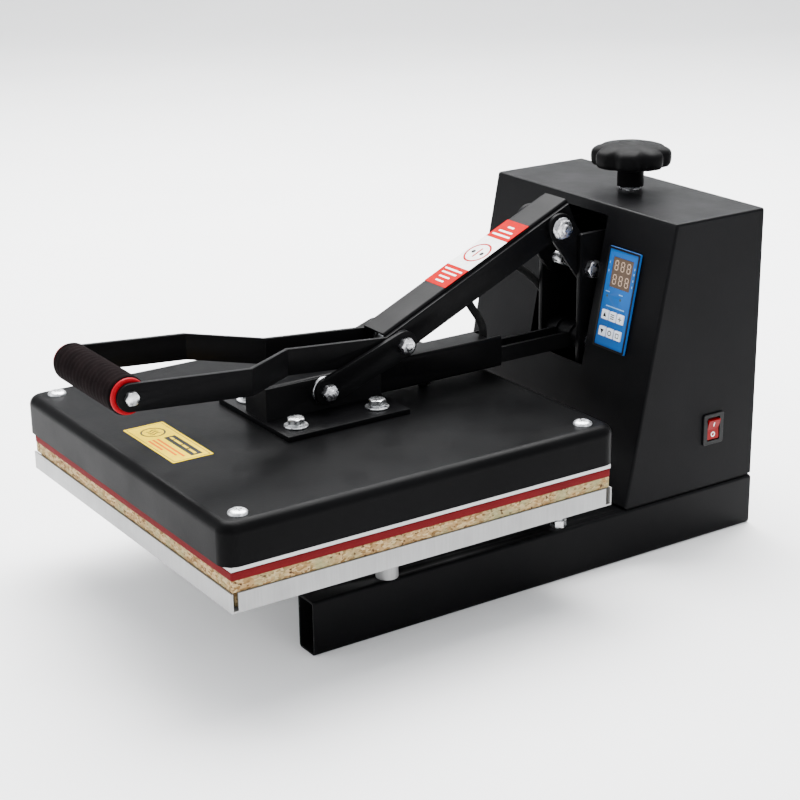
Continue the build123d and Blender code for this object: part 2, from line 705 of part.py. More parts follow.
# ---------------------------------------------------------------- rocker and pressure screw
def rocker():
    """Two bell-crank plates between lever, tower and screw nut, tied by a web into one piece."""
    eyes = ((PIVOT_D, CRANK_EYES["lever"]), (PIVOT_P, CRANK_EYES["tower"]), (PIVOT_N, CRANK_EYES["nut"]))
    with BuildPart() as crank:
        for x in (-CRANK_OUT, CRANK_IN):
            for ends in zip(eyes, eyes[1:]):
                with BuildSketch(side(x)):
                    for at, radius in ends:
                        with Locations(at):
                            Circle(radius)
                    make_hull()
                extrude(amount=CRANK_OUT - CRANK_IN)
        with BuildSketch(side(-CRANK_IN)):
            with Locations((PAD_Y + 332, PIVOT_P[1] - 6)):
                Rectangle(34, 6)
        extrude(amount=2 * CRANK_IN)
        with BuildSketch(side(-CRANK_OUT)):
            with Locations(PIVOT_D, PIVOT_P, PIVOT_N):
                Circle((BIG_PIN + RUNNING) / 2)
        extrude(amount=2 * CRANK_OUT, mode=Mode.SUBTRACT)
    save(crank, "rocker")


def rocker_bolt():
    """Bolt that carries the lever at the rocker's front, with a washer and a domed head outside."""
    with BuildPart() as bolt:
        with BuildSketch(side(-CRANK_OUT)):
            with Locations(PIVOT_D):
                Circle(BIG_PIN / 2)
        extrude(amount=2 * CRANK_OUT)
        for sign in (-1, 1):
            with BuildSketch(side(sign * CRANK_OUT)):
                with Locations(PIVOT_D):
                    Circle(ROCKER_WASHER_R)
            extrude(amount=sign * ROCKER_WASHER_T)
            with BuildSketch(side(sign * (CRANK_OUT + ROCKER_WASHER_T))):
                with Locations(PIVOT_D):
                    Circle(ROCKER_HEAD_R)
            extrude(amount=sign * ROCKER_HEAD_T)
        ends = bolt.faces().filter_by(Axis.X).sort_by(Axis.X)
        fillet(ends[0].edges() + ends[-1].edges(), 2.5)
    save(bolt, "rocker_bolt")


def trunnion_nut():
    """Nut block with a trunnion on each side; its bore leaves room for the block to rock."""
    y, z = PIVOT_N
    half, block_r = CRANK_IN - GAP, 12
    with BuildPart() as nut:
        with BuildSketch(side(-half)):
            with Locations(PIVOT_N):
                Circle(block_r)
        extrude(amount=2 * half)
        with BuildSketch(side(-CRANK_OUT)):
            with Locations(PIVOT_N):
                Circle(BIG_PIN / 2)
        extrude(amount=2 * CRANK_OUT)
        with BuildSketch(Plane(origin=(0, y, z - 20))):
            Circle(SPINDLE_R + 1.0)
        extrude(amount=40, mode=Mode.SUBTRACT)
    save(nut, "trunnion_nut")


def upright_section():
    """Half-section plane through the knob's axis: x is outwards and y is up."""
    return Plane(origin=(0, KNOB_Y, 0), x_dir=(1, 0, 0), z_dir=(0, -1, 0))


def pressure_spindle():
    """Screw with a collar above and below its bearing plate."""
    low, high = BEARING_Z - GAP, BEARING_Z + BEARING_T + GAP
    top = KNOB_Z + 8
    collar_t = 6.0
    with BuildPart() as spindle:
        with BuildSketch(upright_section()):
            with BuildLine():
                Polyline((0, SPINDLE_LOW), (SPINDLE_R - 1.2, SPINDLE_LOW),
                         (SPINDLE_R, SPINDLE_LOW + 1.2), (SPINDLE_R, low - collar_t),
                         (SPINDLE_COLLAR_R, low - collar_t), (SPINDLE_COLLAR_R, low),
                         (SPINDLE_R, low), (SPINDLE_R, high), (SPINDLE_COLLAR_R, high),
                         (SPINDLE_COLLAR_R, high + collar_t), (SPINDLE_R, high + collar_t),
                         (SPINDLE_R, top), (0, top), close=True)
            make_face()
        revolve(axis=Axis((0, KNOB_Y, 0), (0, 0, 1)))
    save(spindle, "pressure_spindle")


def pressure_knob():
    """Eight-lobed knob with a domed top and a round neck."""
    outer = KNOB_R + 1
    with BuildPart() as knob:
        with BuildSketch(Plane(origin=(0, KNOB_Y, KNOB_Z))) as lobed:
            Circle(KNOB_R)
            with PolarLocations(KNOB_R + 5.5, KNOB_LOBES, start_angle=180 / KNOB_LOBES):
                Circle(9.5, mode=Mode.SUBTRACT)
            fillet(lobed.vertices(), LOBE_FILLET)
        extrude(amount=KNOB_TOP - KNOB_Z)
        with BuildSketch(upright_section()):
            with BuildLine():
                Polyline((0, KNOB_Z - 1), (KNOB_R - 3, KNOB_Z - 1), (outer, KNOB_Z + 4),
                         (outer, KNOB_TOP - 9))
                ThreePointArc((outer, KNOB_TOP - 9), (KNOB_R - 9, KNOB_TOP - 2), (0, KNOB_TOP))
                Line((0, KNOB_TOP), (0, KNOB_Z - 1))
            make_face()
        revolve(axis=Axis((0, KNOB_Y, 0), (0, 0, 1)), mode=Mode.INTERSECT)
        with BuildSketch(Plane(origin=(0, KNOB_Y, NECK_Z))):
            Circle(NECK_R)
        extrude(amount=KNOB_Z - NECK_Z + 1)
        with BuildSketch(Plane(origin=(0, KNOB_Y, NECK_Z))):
            Circle(SPINDLE_R + 0.02)
        extrude(amount=KNOB_Z + 8.1 - NECK_Z, mode=Mode.SUBTRACT)
    save(knob, "pressure_knob")


# ---------------------------------------------------------------- tower
def tower_plate(label, x):
    """Upright plate with a foot flange turned outwards."""
    foot_x = (TOWER_OUT + FOOT_W / 2 - 0.2) * (1 if x > 0 else -1)
    with BuildPart() as plate:
        with BuildSketch(side(x)):
            with BuildLine():
                Polyline((TOWER_FRONT, CAB_BOTTOM), (TOWER_BACK, CAB_BOTTOM),
                         (TOWER_BACK, TOWER_TOP), (TOWER_FRONT, TOWER_TOP), close=True)
            make_face()
            with Locations(PIVOT_A, PIVOT_P):
                Circle(BIG_PIN / 2 + CLEAR / 2, mode=Mode.SUBTRACT)
        extrude(amount=TOWER_OUT - TOWER_IN)
        fillet(plate.edges().filter_by(Axis.X).sort_by(Axis.Z)[-2:], 3)
        with BuildSketch(Plane.XY.offset(CAB_BOTTOM)):
            with Locations((foot_x, FOOT_Y)):
                Rectangle(FOOT_W, 98)
                with GridLocations(0, FOOT_PITCH, 1, 2):
                    Circle(PIN / 2 + CLEAR, mode=Mode.SUBTRACT)
        extrude(amount=FOOT_T)
    save(plate, label)


def tower_cross_plates():
    """Bearing plate for the pressure spindle, and the plate that closes the tower's back."""
    with BuildPart() as plates:
        with BuildSketch(Plane.XY.offset(BEARING_Z)):
            with Locations((0, TOWER_BACK - 21)):
                Rectangle(2 * TOWER_IN, 42)
            with Locations((0, KNOB_Y)):
                Circle(SPINDLE_R + 0.05, mode=Mode.SUBTRACT)
        extrude(amount=BEARING_T)
        with BuildSketch(facing_front(TOWER_BACK)):
            with Locations((0, (CAB_BOTTOM + BEARING_Z) / 2)):
                Rectangle(2 * TOWER_IN, BEARING_Z - CAB_BOTTOM)
        extrude(amount=4)
    save(plates, "tower_cross_plates")


def tower_foot_bolts():
    with BuildPart() as bolts:
        with BuildSketch(Plane.XY.offset(BOLT_END)):
            with Locations((0, FOOT_Y)):
                with foot_places():
                    Circle(PIN / 2)
        extrude(amount=CAB_BOTTOM + FOOT_T - BOLT_END)
        with BuildSketch(Plane.XY.offset(CAB_BOTTOM + FOOT_T)):
            with Locations((0, FOOT_Y)):
                with foot_places():
                    RegularPolygon(PIN_HEAD_R, 6)
        extrude(amount=TRAY_HEAD_T)
    save(bolts, "tower_foot_bolts")


# ---------------------------------------------------------------- cabinet
def front_face(offset_out):
    """Plane on the cabinet's sloping front at the control panel, facing outwards."""
    y = CAB_FRONT_TOP - (CAB_TOP - PANEL_Z) * tan(FRONT_TILT)
    face = Plane(origin=(PANEL_X, y, PANEL_Z), x_dir=(1, 0, 0),
                 z_dir=(0, -cos(FRONT_TILT), sin(FRONT_TILT)))
    return face.offset(offset_out)


def cabinet_floor():
    with BuildPart() as floor:
        with BuildSketch(Plane.XY.offset(RAIL_H)):
            with Locations((0, (CAB_FRONT_LOW + CAB_BACK) / 2 + 1)):
                Rectangle(2 * CAB_HALF - 4, CAB_BACK - CAB_FRONT_LOW - 4)
            with Locations((0, FOOT_Y)):
                with foot_places():
                    Circle(PIN / 2 + CLEAR, mode=Mode.SUBTRACT)
        extrude(amount=FLOOR_T)
    save(floor, "cabinet_floor")


def cabinet_shell():
    """Wrapped sheet cover: sloping front, sides and top, open below and behind."""
    with BuildPart() as shell:
        with BuildSketch(side(-CAB_HALF)):
            with BuildLine():
                Polyline((CAB_FRONT_LOW, CAB_BOTTOM), (CAB_BACK, CAB_BOTTOM), (CAB_BACK, CAB_TOP),
                         (CAB_FRONT_TOP, CAB_TOP), close=True)
            make_face()
        extrude(amount=2 * CAB_HALF)
        top = shell.faces().sort_by(Axis.Z)[-1].edges().sort_by(Axis.Y)[:-1]
        middle = (CAB_BOTTOM + CAB_TOP) / 2
        sloping = [edge for edge in shell.edges().sort_by(Axis.Y)[:4]
                   if abs(edge.center().Z - middle) < 1]
        fillet(top + sloping, 2.5)
        rear = shell.faces().sort_by(Axis.Y)[-1]
        bottom = shell.faces().sort_by(Axis.Z)[0]
        offset(amount=-SHEET, openings=[rear, bottom])
        # tabs that the back panel screws into
        with BuildSketch(facing_front(CAB_BACK - 2 * SHEET)):
            with Locations((0, (CAB_BOTTOM + CAB_TOP) / 2)):
                with GridLocations(2 * TAB_X, 2 * TAB_Z, 2, 2):
                    Rectangle(18, 22)
        extrude(amount=SHEET)
        with BuildSketch(facing_front(CAB_FRONT_LOW - 20)):
            with Locations(((SLOT_LEFT + SLOT_RIGHT) / 2, (SLOT_LOW + SLOT_HIGH) / 2)):
                Rectangle(SLOT_RIGHT - SLOT_LEFT, SLOT_HIGH - SLOT_LOW)
        extrude(amount=-90, mode=Mode.SUBTRACT)
        with BuildSketch(front_face(-10)):
            Rectangle(PANEL_W - 2.5, PANEL_H - 4)
        extrude(amount=20, mode=Mode.SUBTRACT)
        with BuildSketch(side(CAB_HALF - 5)):
            with Locations((SWITCH_Y, SWITCH_Z)):
                Rectangle(21.6, 27.6)
        extrude(amount=10, mode=Mode.SUBTRACT)
        with BuildSketch(Plane.XY.offset(CAB_TOP - 5)):
            with Locations((0, KNOB_Y)):
                Circle(11)
        extrude(amount=10, mode=Mode.SUBTRACT)
    save(shell, "cabinet_shell")


def cabinet_back_panel():
    with BuildPart() as panel:
        with BuildSketch(facing_front(CAB_BACK)):
            with Locations((0, (CAB_BOTTOM + CAB_TOP - SHEET) / 2)):
                Rectangle(2 * (CAB_HALF - SHEET - 0.3), CAB_TOP - CAB_BOTTOM - SHEET - 0.6)
            with Locations((0, (CAB_BOTTOM + CAB_TOP) / 2)):
                with GridLocations(2 * TAB_X, 2 * TAB_Z, 2, 2):
                    Circle(2.2, mode=Mode.SUBTRACT)
            with Locations((0, VENT_Z)):
                with GridLocations(0, VENT_PITCH, 1, VENTS):
                    SlotOverall(90, 4, mode=Mode.SUBTRACT)
            with Locations((INLET_X, INLET_Z)):
                Rectangle(28, 21, mode=Mode.SUBTRACT)
        extrude(amount=SHEET)
    save(panel, "cabinet_back_panel")


def cabinet_screws():
    """Four back-panel screws, and two small ones through the inlet's flange."""
    with BuildPart() as screws:
        for at in GridLocations(2 * TAB_X, 2 * TAB_Z, 2, 2):
            x, z = at.position.X, at.position.Y + (CAB_BOTTOM + CAB_TOP) / 2
            with BuildSketch(facing_front(CAB_BACK)):
                with Locations((x, z)):
                    Circle(2)
            extrude(amount=SHEET)
            with BuildSketch(facing_front(CAB_BACK)):
                with Locations((x, z)):
                    Circle(4)
            extrude(amount=-2.2)
        heads = screws.faces().filter_by(Axis.Y).sort_by(Axis.Y)[-4:]
        fillet([edge for head in heads for edge in head.edges()], 1.2)
        for x in (INLET_X - INLET_SCREW_X, INLET_X + INLET_SCREW_X):
            with BuildSketch(facing_front(CAB_BACK + INLET_FLANGE_T)):
                with Locations((x, INLET_Z)):
                    Circle(1.7)
            extrude(amount=INLET_FLANGE_T)
            with BuildSketch(facing_front(CAB_BACK + INLET_FLANGE_T)):
                with Locations((x, INLET_Z)):
                    Circle(3)
            extrude(amount=-1.1)
    save(screws, "cabinet_screws")


# ---------------------------------------------------------------- control panel
def key_places():
    return GridLocations(KEY_PITCH_X, KEY_PITCH_Y, 3, 2)


def control_fascia():
    with BuildPart() as fascia:
        with BuildSketch(front_face(0)):
            RectangleRounded(PANEL_W, PANEL_H, 1.2)
            with Locations((WINDOW_X, WINDOW_Y)):
                Rectangle(WINDOW_W, WINDOW_H, mode=Mode.SUBTRACT)
            with Locations((KEY_X, KEY_Y)):
                with key_places():
                    RectangleRounded(KEY_W + 0.8, KEY_H + 0.8, 1, mode=Mode.SUBTRACT)
            with Locations(*LED_AT):
                Circle(LED_R, mode=Mode.SUBTRACT)
        extrude(amount=FASCIA_T)
        chamfer(fascia.faces().sort_by(Axis.Y)[0].outer_wire().edges(), 0.5)
    save(fascia, "control_fascia")


def display_window():
    with BuildPart() as window:
        with BuildSketch(front_face(FASCIA_T - 1.8)):
            with Locations((WINDOW_X, WINDOW_Y)):
                Rectangle(WINDOW_W - 0.1, WINDOW_H - 0.1)
        extrude(amount=1.5)
    save(window, "display_window")


def control_board():
    """Board behind the keys, with the display block and two indicator lamps on it."""
    with BuildPart() as board:
        with BuildSketch(front_face(BOARD_BACK)):
            Rectangle(PANEL_W - 7, PANEL_H - 9)
        extrude(amount=BOARD_T)
        front = BOARD_BACK + BOARD_T
        with BuildSketch(front_face(front)):
            with Locations((WINDOW_X, WINDOW_Y)):
                Rectangle(WINDOW_W - 0.5, WINDOW_H - 0.5)
        extrude(amount=FASCIA_T - 1.9 - front)
        with BuildSketch(front_face(front)):
            with Locations(*LED_AT):
                Circle(LED_R - 0.05)
        extrude(amount=FASCIA_T - 0.2 - front)
    save(board, "control_board")


def control_housing():
    """Tray behind the fascia that holds the board."""
    width, height = PANEL_W - 3, PANEL_H - 4.6
    with BuildPart() as housing:
        with BuildSketch(front_face(0)):
            Rectangle(width, height)
        extrude(amount=-HOUSING_DEPTH)
        with BuildSketch(front_face(0)):
            Rectangle(width - 2 * HOUSING_WALL, height - 2 * HOUSING_WALL)
        extrude(amount=HOUSING_WALL - HOUSING_DEPTH, mode=Mode.SUBTRACT)
    save(housing, "control_housing")


def keys():
    """Six sprung keys, each on its own stem above the board."""
    number = 0
    for at in key_places():
        number += 1
        x, y = KEY_X + at.position.X, KEY_Y + at.position.Y
        with BuildPart() as key:
            with BuildSketch(front_face(-1.0)):
                with Locations((x, y)):
                    RectangleRounded(KEY_W, KEY_H, 0.8)
            extrude(amount=FASCIA_T + 2.0)
            fillet(key.faces().sort_by(Axis.Y)[0].edges(), 0.5)
            with BuildSketch(front_face(-5.2)):
                with Locations((x, y)):
                    Circle(2)
            extrude(amount=4.3)
        save(key, f"key_{number}")


# ---------------------------------------------------------------- electrical parts
def power_switch_body():
    """Switch frame in the cabinet's side, open where the paddle sits."""
    with BuildPart() as body:
        with BuildSketch(side(CAB_HALF)):
            with Locations((SWITCH_Y, SWITCH_Z)):
                RectangleRounded(25, 31, 2)
        extrude(amount=2.2)
        fillet(body.faces().sort_by(Axis.X)[-1].edges(), 0.8)
        with BuildSketch(side(CAB_HALF)):
            with Locations((SWITCH_Y, SWITCH_Z)):
                Rectangle(21, 27)
        extrude(amount=-22)
        with BuildSketch(side(CAB_HALF + 3)):
            with Locations((SWITCH_Y, SWITCH_Z)):
                Rectangle(15.2, 23.4)
        extrude(amount=-14, mode=Mode.SUBTRACT)
    save(body, "power_switch_body")


def switch_rocker():
    """Paddle with a shallow valley across its face and a round hub, resting with its upper end out."""
    tilt = radians(ROCKER_TILT)
    frame = Plane(origin=(ROCKER_X, SWITCH_Y + PADDLE_W / 2, SWITCH_Z),
                  x_dir=(cos(tilt), 0, -sin(tilt)), z_dir=(0, -1, 0))
    with BuildPart() as paddle:
        with BuildSketch(frame):
            with BuildLine():
                Polyline((6.0, -10.4), (4.2, 0), (6.0, 10.4), (-1.5, 9.6), (-3, 3), (-3, -3),
                         (-1.5, -9.6), close=True)
            make_face()
            Circle(HUB_R)
        extrude(amount=PADDLE_W)
        fillet(paddle.edges().filter_by(Axis.Y).sort_by(Axis.X)[-3:], 0.8)
    save(paddle, "switch_rocker")


def power_inlet():
    """Three-pole inlet socket with a screwed flange."""
    with BuildPart() as inlet:
        with BuildSketch(facing_front(CAB_BACK)):
            with Locations((INLET_X, INLET_Z)):
                RectangleRounded(50, 24, 3)
        extrude(amount=-INLET_FLANGE_T)
        with BuildSketch(facing_front(CAB_BACK)):
            with Locations((INLET_X, INLET_Z)):
                Rectangle(27.4, 20.4)
        extrude(amount=22)
        with BuildSketch(facing_front(CAB_BACK + INLET_FLANGE_T)):
            with Locations((INLET_X, INLET_Z)):
                Polygon((-12, -8), (12, -8), (12, 3.5), (7.5, 8), (-7.5, 8), (-12, 3.5), align=None)
        extrude(amount=18, mode=Mode.SUBTRACT)
        with BuildSketch(facing_front(CAB_BACK + INLET_FLANGE_T)):
            with Locations((INLET_X, INLET_Z)):
                with GridLocations(2 * INLET_SCREW_X, 0, 2, 1):
                    Circle(1.8)
        extrude(amount=INLET_FLANGE_T, mode=Mode.SUBTRACT)
        with BuildSketch(facing_front(CAB_BACK - 2)):
            with Locations((INLET_X - 7, INLET_Z - 2), (INLET_X + 7, INLET_Z - 2),
                           (INLET_X, INLET_Z + 2.5)):
                Rectangle(2, 4)
        extrude(amount=14)
    save(inlet, "power_inlet")


def solid_state_relay():
    """Relay block on a finned base, bolted to the cabinet floor."""
    with BuildPart() as relay:
        with BuildSketch(Plane.XY.offset(CAB_BOTTOM)):
            with Locations((RELAY_X, RELAY_Y)):
                Rectangle(46, 60)
        extrude(amount=4)
        with BuildSketch(Plane.XY.offset(CAB_BOTTOM + 4)):
            with Locations((RELAY_X, RELAY_Y)):
                RectangleRounded(44, 58, 3)
        extrude(amount=22)
        with BuildSketch(Plane.XY.offset(CAB_BOTTOM + 18)):
            with Locations((RELAY_X, RELAY_Y)):
                with GridLocations(0, 44, 1, 2):
                    Rectangle(30, 12)
        extrude(amount=9, mode=Mode.SUBTRACT)
    save(relay, "solid_state_relay")


# ---------------------------------------------------------------- heater lead
def bend_radii(points):
    """Arc radius for each inner point: 0.45 of the shorter run over tan(half the turn)."""
    places = [Vector(*point) for point in points]
    radii = []
    for before, here, after in zip(places, places[1:], places[2:]):
        turn = radians((here - before).get_angle(after - here))
        run = min((here - before).length, (after - here).length)
        radii.append(0.45 * run / tan(turn / 2))
    return radii


def heater_lead():
    """Sleeved lead out of the arm's rear end, up beside the lever and into the cabinet."""
    points = [(x, PAD_Y + y, z) for x, y, z in LEAD_ROUTE]
    radii = bend_radii(points)
    with BuildPart() as lead:
        with BuildLine() as route:
            FilletPolyline(*points, radius=radii)
        with BuildSketch(Plane(origin=route.line @ 0, z_dir=route.line % 0)):
            Circle(LEAD_D / 2)
        sweep()
    print("heater lead radii", [round(radius, 1) for radius in radii])
    section = pi * LEAD_D ** 2 / 4
    length = route.wire().length
    print("heater lead length", round(length, 1), "volume over section times length",
          round(lead.part.volume / (section * length), 4))
    save(lead, "heater_lead")


# ---------------------------------------------------------------- build everything
rail("rail_left", -RAIL_X)
rail("rail_right", RAIL_X)
cross_members()
standoff_sleeves()
tray_bolts()
lower_tray()
press_board()
silicone_pad()

heat_plate()
heating_element()
insulation()
thermocouple()
platen_spacers()
heat_cover()
cover_screws()
mounting_bolts()

arm_bracket()
arm_tube()
hinge_ears()
cross_bolt("hinge_shaft", PIVOT_A, BIG_PIN / 2, TOWER_OUT, 10.0, 6.0)
cross_bolt("arm_pivot_bolt", PIVOT_B, PIN / 2, LINK_OUT + 0.3, PIN_HEAD_R, PIN_HEAD_T, tip=TIP_T,
           washer=(TUBE / 2 + 0.1 + CHEEK_T, LINK_IN - 0.3, WASHER_R))
link("link_left", -LINK_OUT)
link("link_right", LINK_IN)
link_studs()

lever_tube()
fork_bar("fork_bar_left", -1)
fork_bar("fork_bar_right", 1)
lever_bushes()
grip_foam()
grip_collars()
grip_axle()

rocker()
rocker_bolt()
trunnion_nut()
pressure_spindle()
pressure_knob()
cross_bolt("rocker_pivot_bolt", PIVOT_P, BIG_PIN / 2, TOWER_OUT, 9.0, 6.5)
tower_plate("tower_plate_left", -TOWER_OUT)
tower_plate("tower_plate_right", TOWER_IN)
tower_cross_plates()
tower_foot_bolts()

cabinet_floor()
cabinet_shell()
cabinet_back_panel()
cabinet_screws()
control_fascia()
display_window()
control_board()
control_housing()
keys()
power_switch_body()
switch_rocker()
power_inlet()
solid_state_relay()
heater_lead()
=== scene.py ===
import json
from math import atan2, cos, pi, radians, sin, sqrt

import bmesh
import bpy
from mathutils import Matrix, Vector


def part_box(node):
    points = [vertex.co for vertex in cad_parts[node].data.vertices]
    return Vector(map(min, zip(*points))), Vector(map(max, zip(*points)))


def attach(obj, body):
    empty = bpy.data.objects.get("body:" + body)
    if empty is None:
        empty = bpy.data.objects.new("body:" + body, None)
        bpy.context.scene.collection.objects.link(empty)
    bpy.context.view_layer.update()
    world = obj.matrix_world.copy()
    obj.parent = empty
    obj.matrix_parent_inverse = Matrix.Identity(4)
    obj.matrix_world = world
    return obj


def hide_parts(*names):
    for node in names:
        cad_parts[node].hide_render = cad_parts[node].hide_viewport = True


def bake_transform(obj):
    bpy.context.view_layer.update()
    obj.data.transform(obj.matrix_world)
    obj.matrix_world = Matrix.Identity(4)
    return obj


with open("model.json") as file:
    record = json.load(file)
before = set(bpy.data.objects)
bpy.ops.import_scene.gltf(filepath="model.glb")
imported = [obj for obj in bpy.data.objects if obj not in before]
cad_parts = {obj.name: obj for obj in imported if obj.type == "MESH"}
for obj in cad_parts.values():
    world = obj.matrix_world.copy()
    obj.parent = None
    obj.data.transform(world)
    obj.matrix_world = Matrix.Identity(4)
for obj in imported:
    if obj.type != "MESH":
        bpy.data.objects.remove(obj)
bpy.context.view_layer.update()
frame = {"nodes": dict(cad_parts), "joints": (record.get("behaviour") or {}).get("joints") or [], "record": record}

NODES = frame["nodes"]
SLOT_OF = {name: node.data.materials[0].name for name, node in NODES.items()}
JOINT = {j["name"]: j for j in frame["joints"]}
BODY_OF = {n: b for b, group in frame["record"]["behaviour"]["bodies"].items() for n in group}
MM = 0.001
X, Y, Z = Vector((1, 0, 0)), Vector((0, 1, 0)), Vector((0, 0, 1))


def centre(node):
    """Middle of a piece's box."""
    low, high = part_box(node)
    return (low + high) / 2


# pivots of the toggle, read from the joints and the pieces on them
PIVOT_B = Vector(JOINT["link_pivot"]["pos_m"])
PIVOT_D = Vector(JOINT["lever_pivot"]["pos_m"])
PIVOT_C = Vector((0, *centre("link_studs").yz))

# direction out of the control panel, and the direction up its slope
PANEL_OUT = -Vector(JOINT["key_1_press"]["axis"]).normalized()
PANEL_UP = (Z - PANEL_OUT * Z.dot(PANEL_OUT)).normalized()

# camera: where it looks from, its place in metres, its lens in mm
CAMERA_AZIMUTH = radians(56.65)
CAMERA_ELEVATION = radians(19.6)
CAMERA_ROLL = radians(-0.79)
CAMERA_PLACE = (1.3738, -0.9069, 0.7399)
FOCAL_LENGTH = 84.65
SENSOR_WIDTH = 36.0

# CAD pieces whose sharp edges are rounded, with the rounding in mm
ROUNDED = {
    "rail_left": 1.6, "rail_right": 1.6, "cross_members": 1.2, "arm_bracket": 0.7, "arm_tube": 1.8,
    "link_left": 0.8, "link_right": 0.8, "fork_bar_left": 0.7, "fork_bar_right": 0.7, "rocker": 0.7,
    "lower_tray": 0.5, "press_board": 0.6, "silicone_pad": 0.8, "heat_plate": 0.6,
    "control_fascia": 0.7, "tower_plate_left": 0.6, "tower_plate_right": 0.6,
}

# heater lead: its spline's points in mm, with y from the pad's middle, and its width in mm
LEAD_ROUTE = [(0, 118, 158), (0, 122, 182), (0, 146, 187), (0, 172, 187), (-2, 192, 194),
              (-5, 191, 212), (-14, 180, 232), (-30, 184, 252), (-36, 210, 263),
              (-37, 244, 256), (-37, 272, 238), (-38, 294, 214), (-48, 312, 184),
              (-64, 326, 154), (-80, 340, 126), (-88, 349, 102), (-88, 350, 80.5)]
LEAD_D = 8.0


# ---------------------------------------------------------------- camera and light
def make_camera():
    """A long lens from the right-hand front, a little above the machine."""
    azimuth, elevation, roll = CAMERA_AZIMUTH, CAMERA_ELEVATION, CAMERA_ROLL
    back = Vector((sin(azimuth) * cos(elevation), -cos(azimuth) * cos(elevation), sin(elevation)))
    level_right = Vector((cos(azimuth), sin(azimuth), 0))
    level_up = back.cross(level_right)
    right = level_right * cos(roll) + level_up * sin(roll)
    up = level_up * cos(roll) - level_right * sin(roll)
    data = bpy.data.cameras.new("view")
    data.lens = FOCAL_LENGTH
    data.sensor_width = SENSOR_WIDTH
    data.clip_start = 0.05
    data.clip_end = 50.0
    camera = bpy.data.objects.new("view", data)
    turn = Matrix((right, up, back)).transposed().to_4x4()
    camera.matrix_world = Matrix.Translation(CAMERA_PLACE) @ turn
    bpy.context.scene.collection.objects.link(camera)
    bpy.context.scene.camera = camera


def soft_box(name, place, target, size, power):
    """Area light aimed at a point; its size is in metres and its power in watts."""
    data = bpy.data.lights.new(name, "AREA")
    data.shape = "RECTANGLE"
    data.size, data.size_y = size
    data.energy = power
    lamp = bpy.data.objects.new(name, data)
    lamp.location = place
    lamp.rotation_euler = (Vector(target) - Vector(place)).to_track_quat("-Z", "Y").to_euler()
    bpy.context.scene.collection.objects.link(lamp)


def make_lights():
    """Soft boxes above, front left and right, in a white room that is darker towards the right."""
    soft_box("overhead", (-0.9, 0.7, 2.3), (0, 0, 0.1), (2.8, 2.2), 380)
    soft_box("front_left", (-0.9, -2.2, 1.1), (0, 0, 0.15), (1.5, 1.5), 12)
    soft_box("right_fill", (2.4, 0.2, 1.3), (0, 0, 0.15), (0.8, 1.2), 12)
    world = bpy.data.worlds.new("studio")
    world.use_nodes = True
    nodes, links = world.node_tree.nodes, world.node_tree.links
    direction = nodes.new("ShaderNodeTexCoord")
    split = nodes.new("ShaderNodeSeparateXYZ")
    fall = nodes.new("ShaderNodeMapRange")
    for socket, value in (("From Min", -0.8), ("From Max", 0.9), ("To Min", 2.3), ("To Max", 0.9)):
        fall.inputs[socket].default_value = value
    links.new(direction.outputs["Generated"], split.inputs["Vector"])
    links.new(split.outputs["X"], fall.inputs["Value"])
    links.new(fall.outputs["Result"], nodes["Background"].inputs["Strength"])
    nodes["Background"].inputs["Color"].default_value = (0.95, 0.97, 1.0, 1)
    bpy.context.scene.world = world


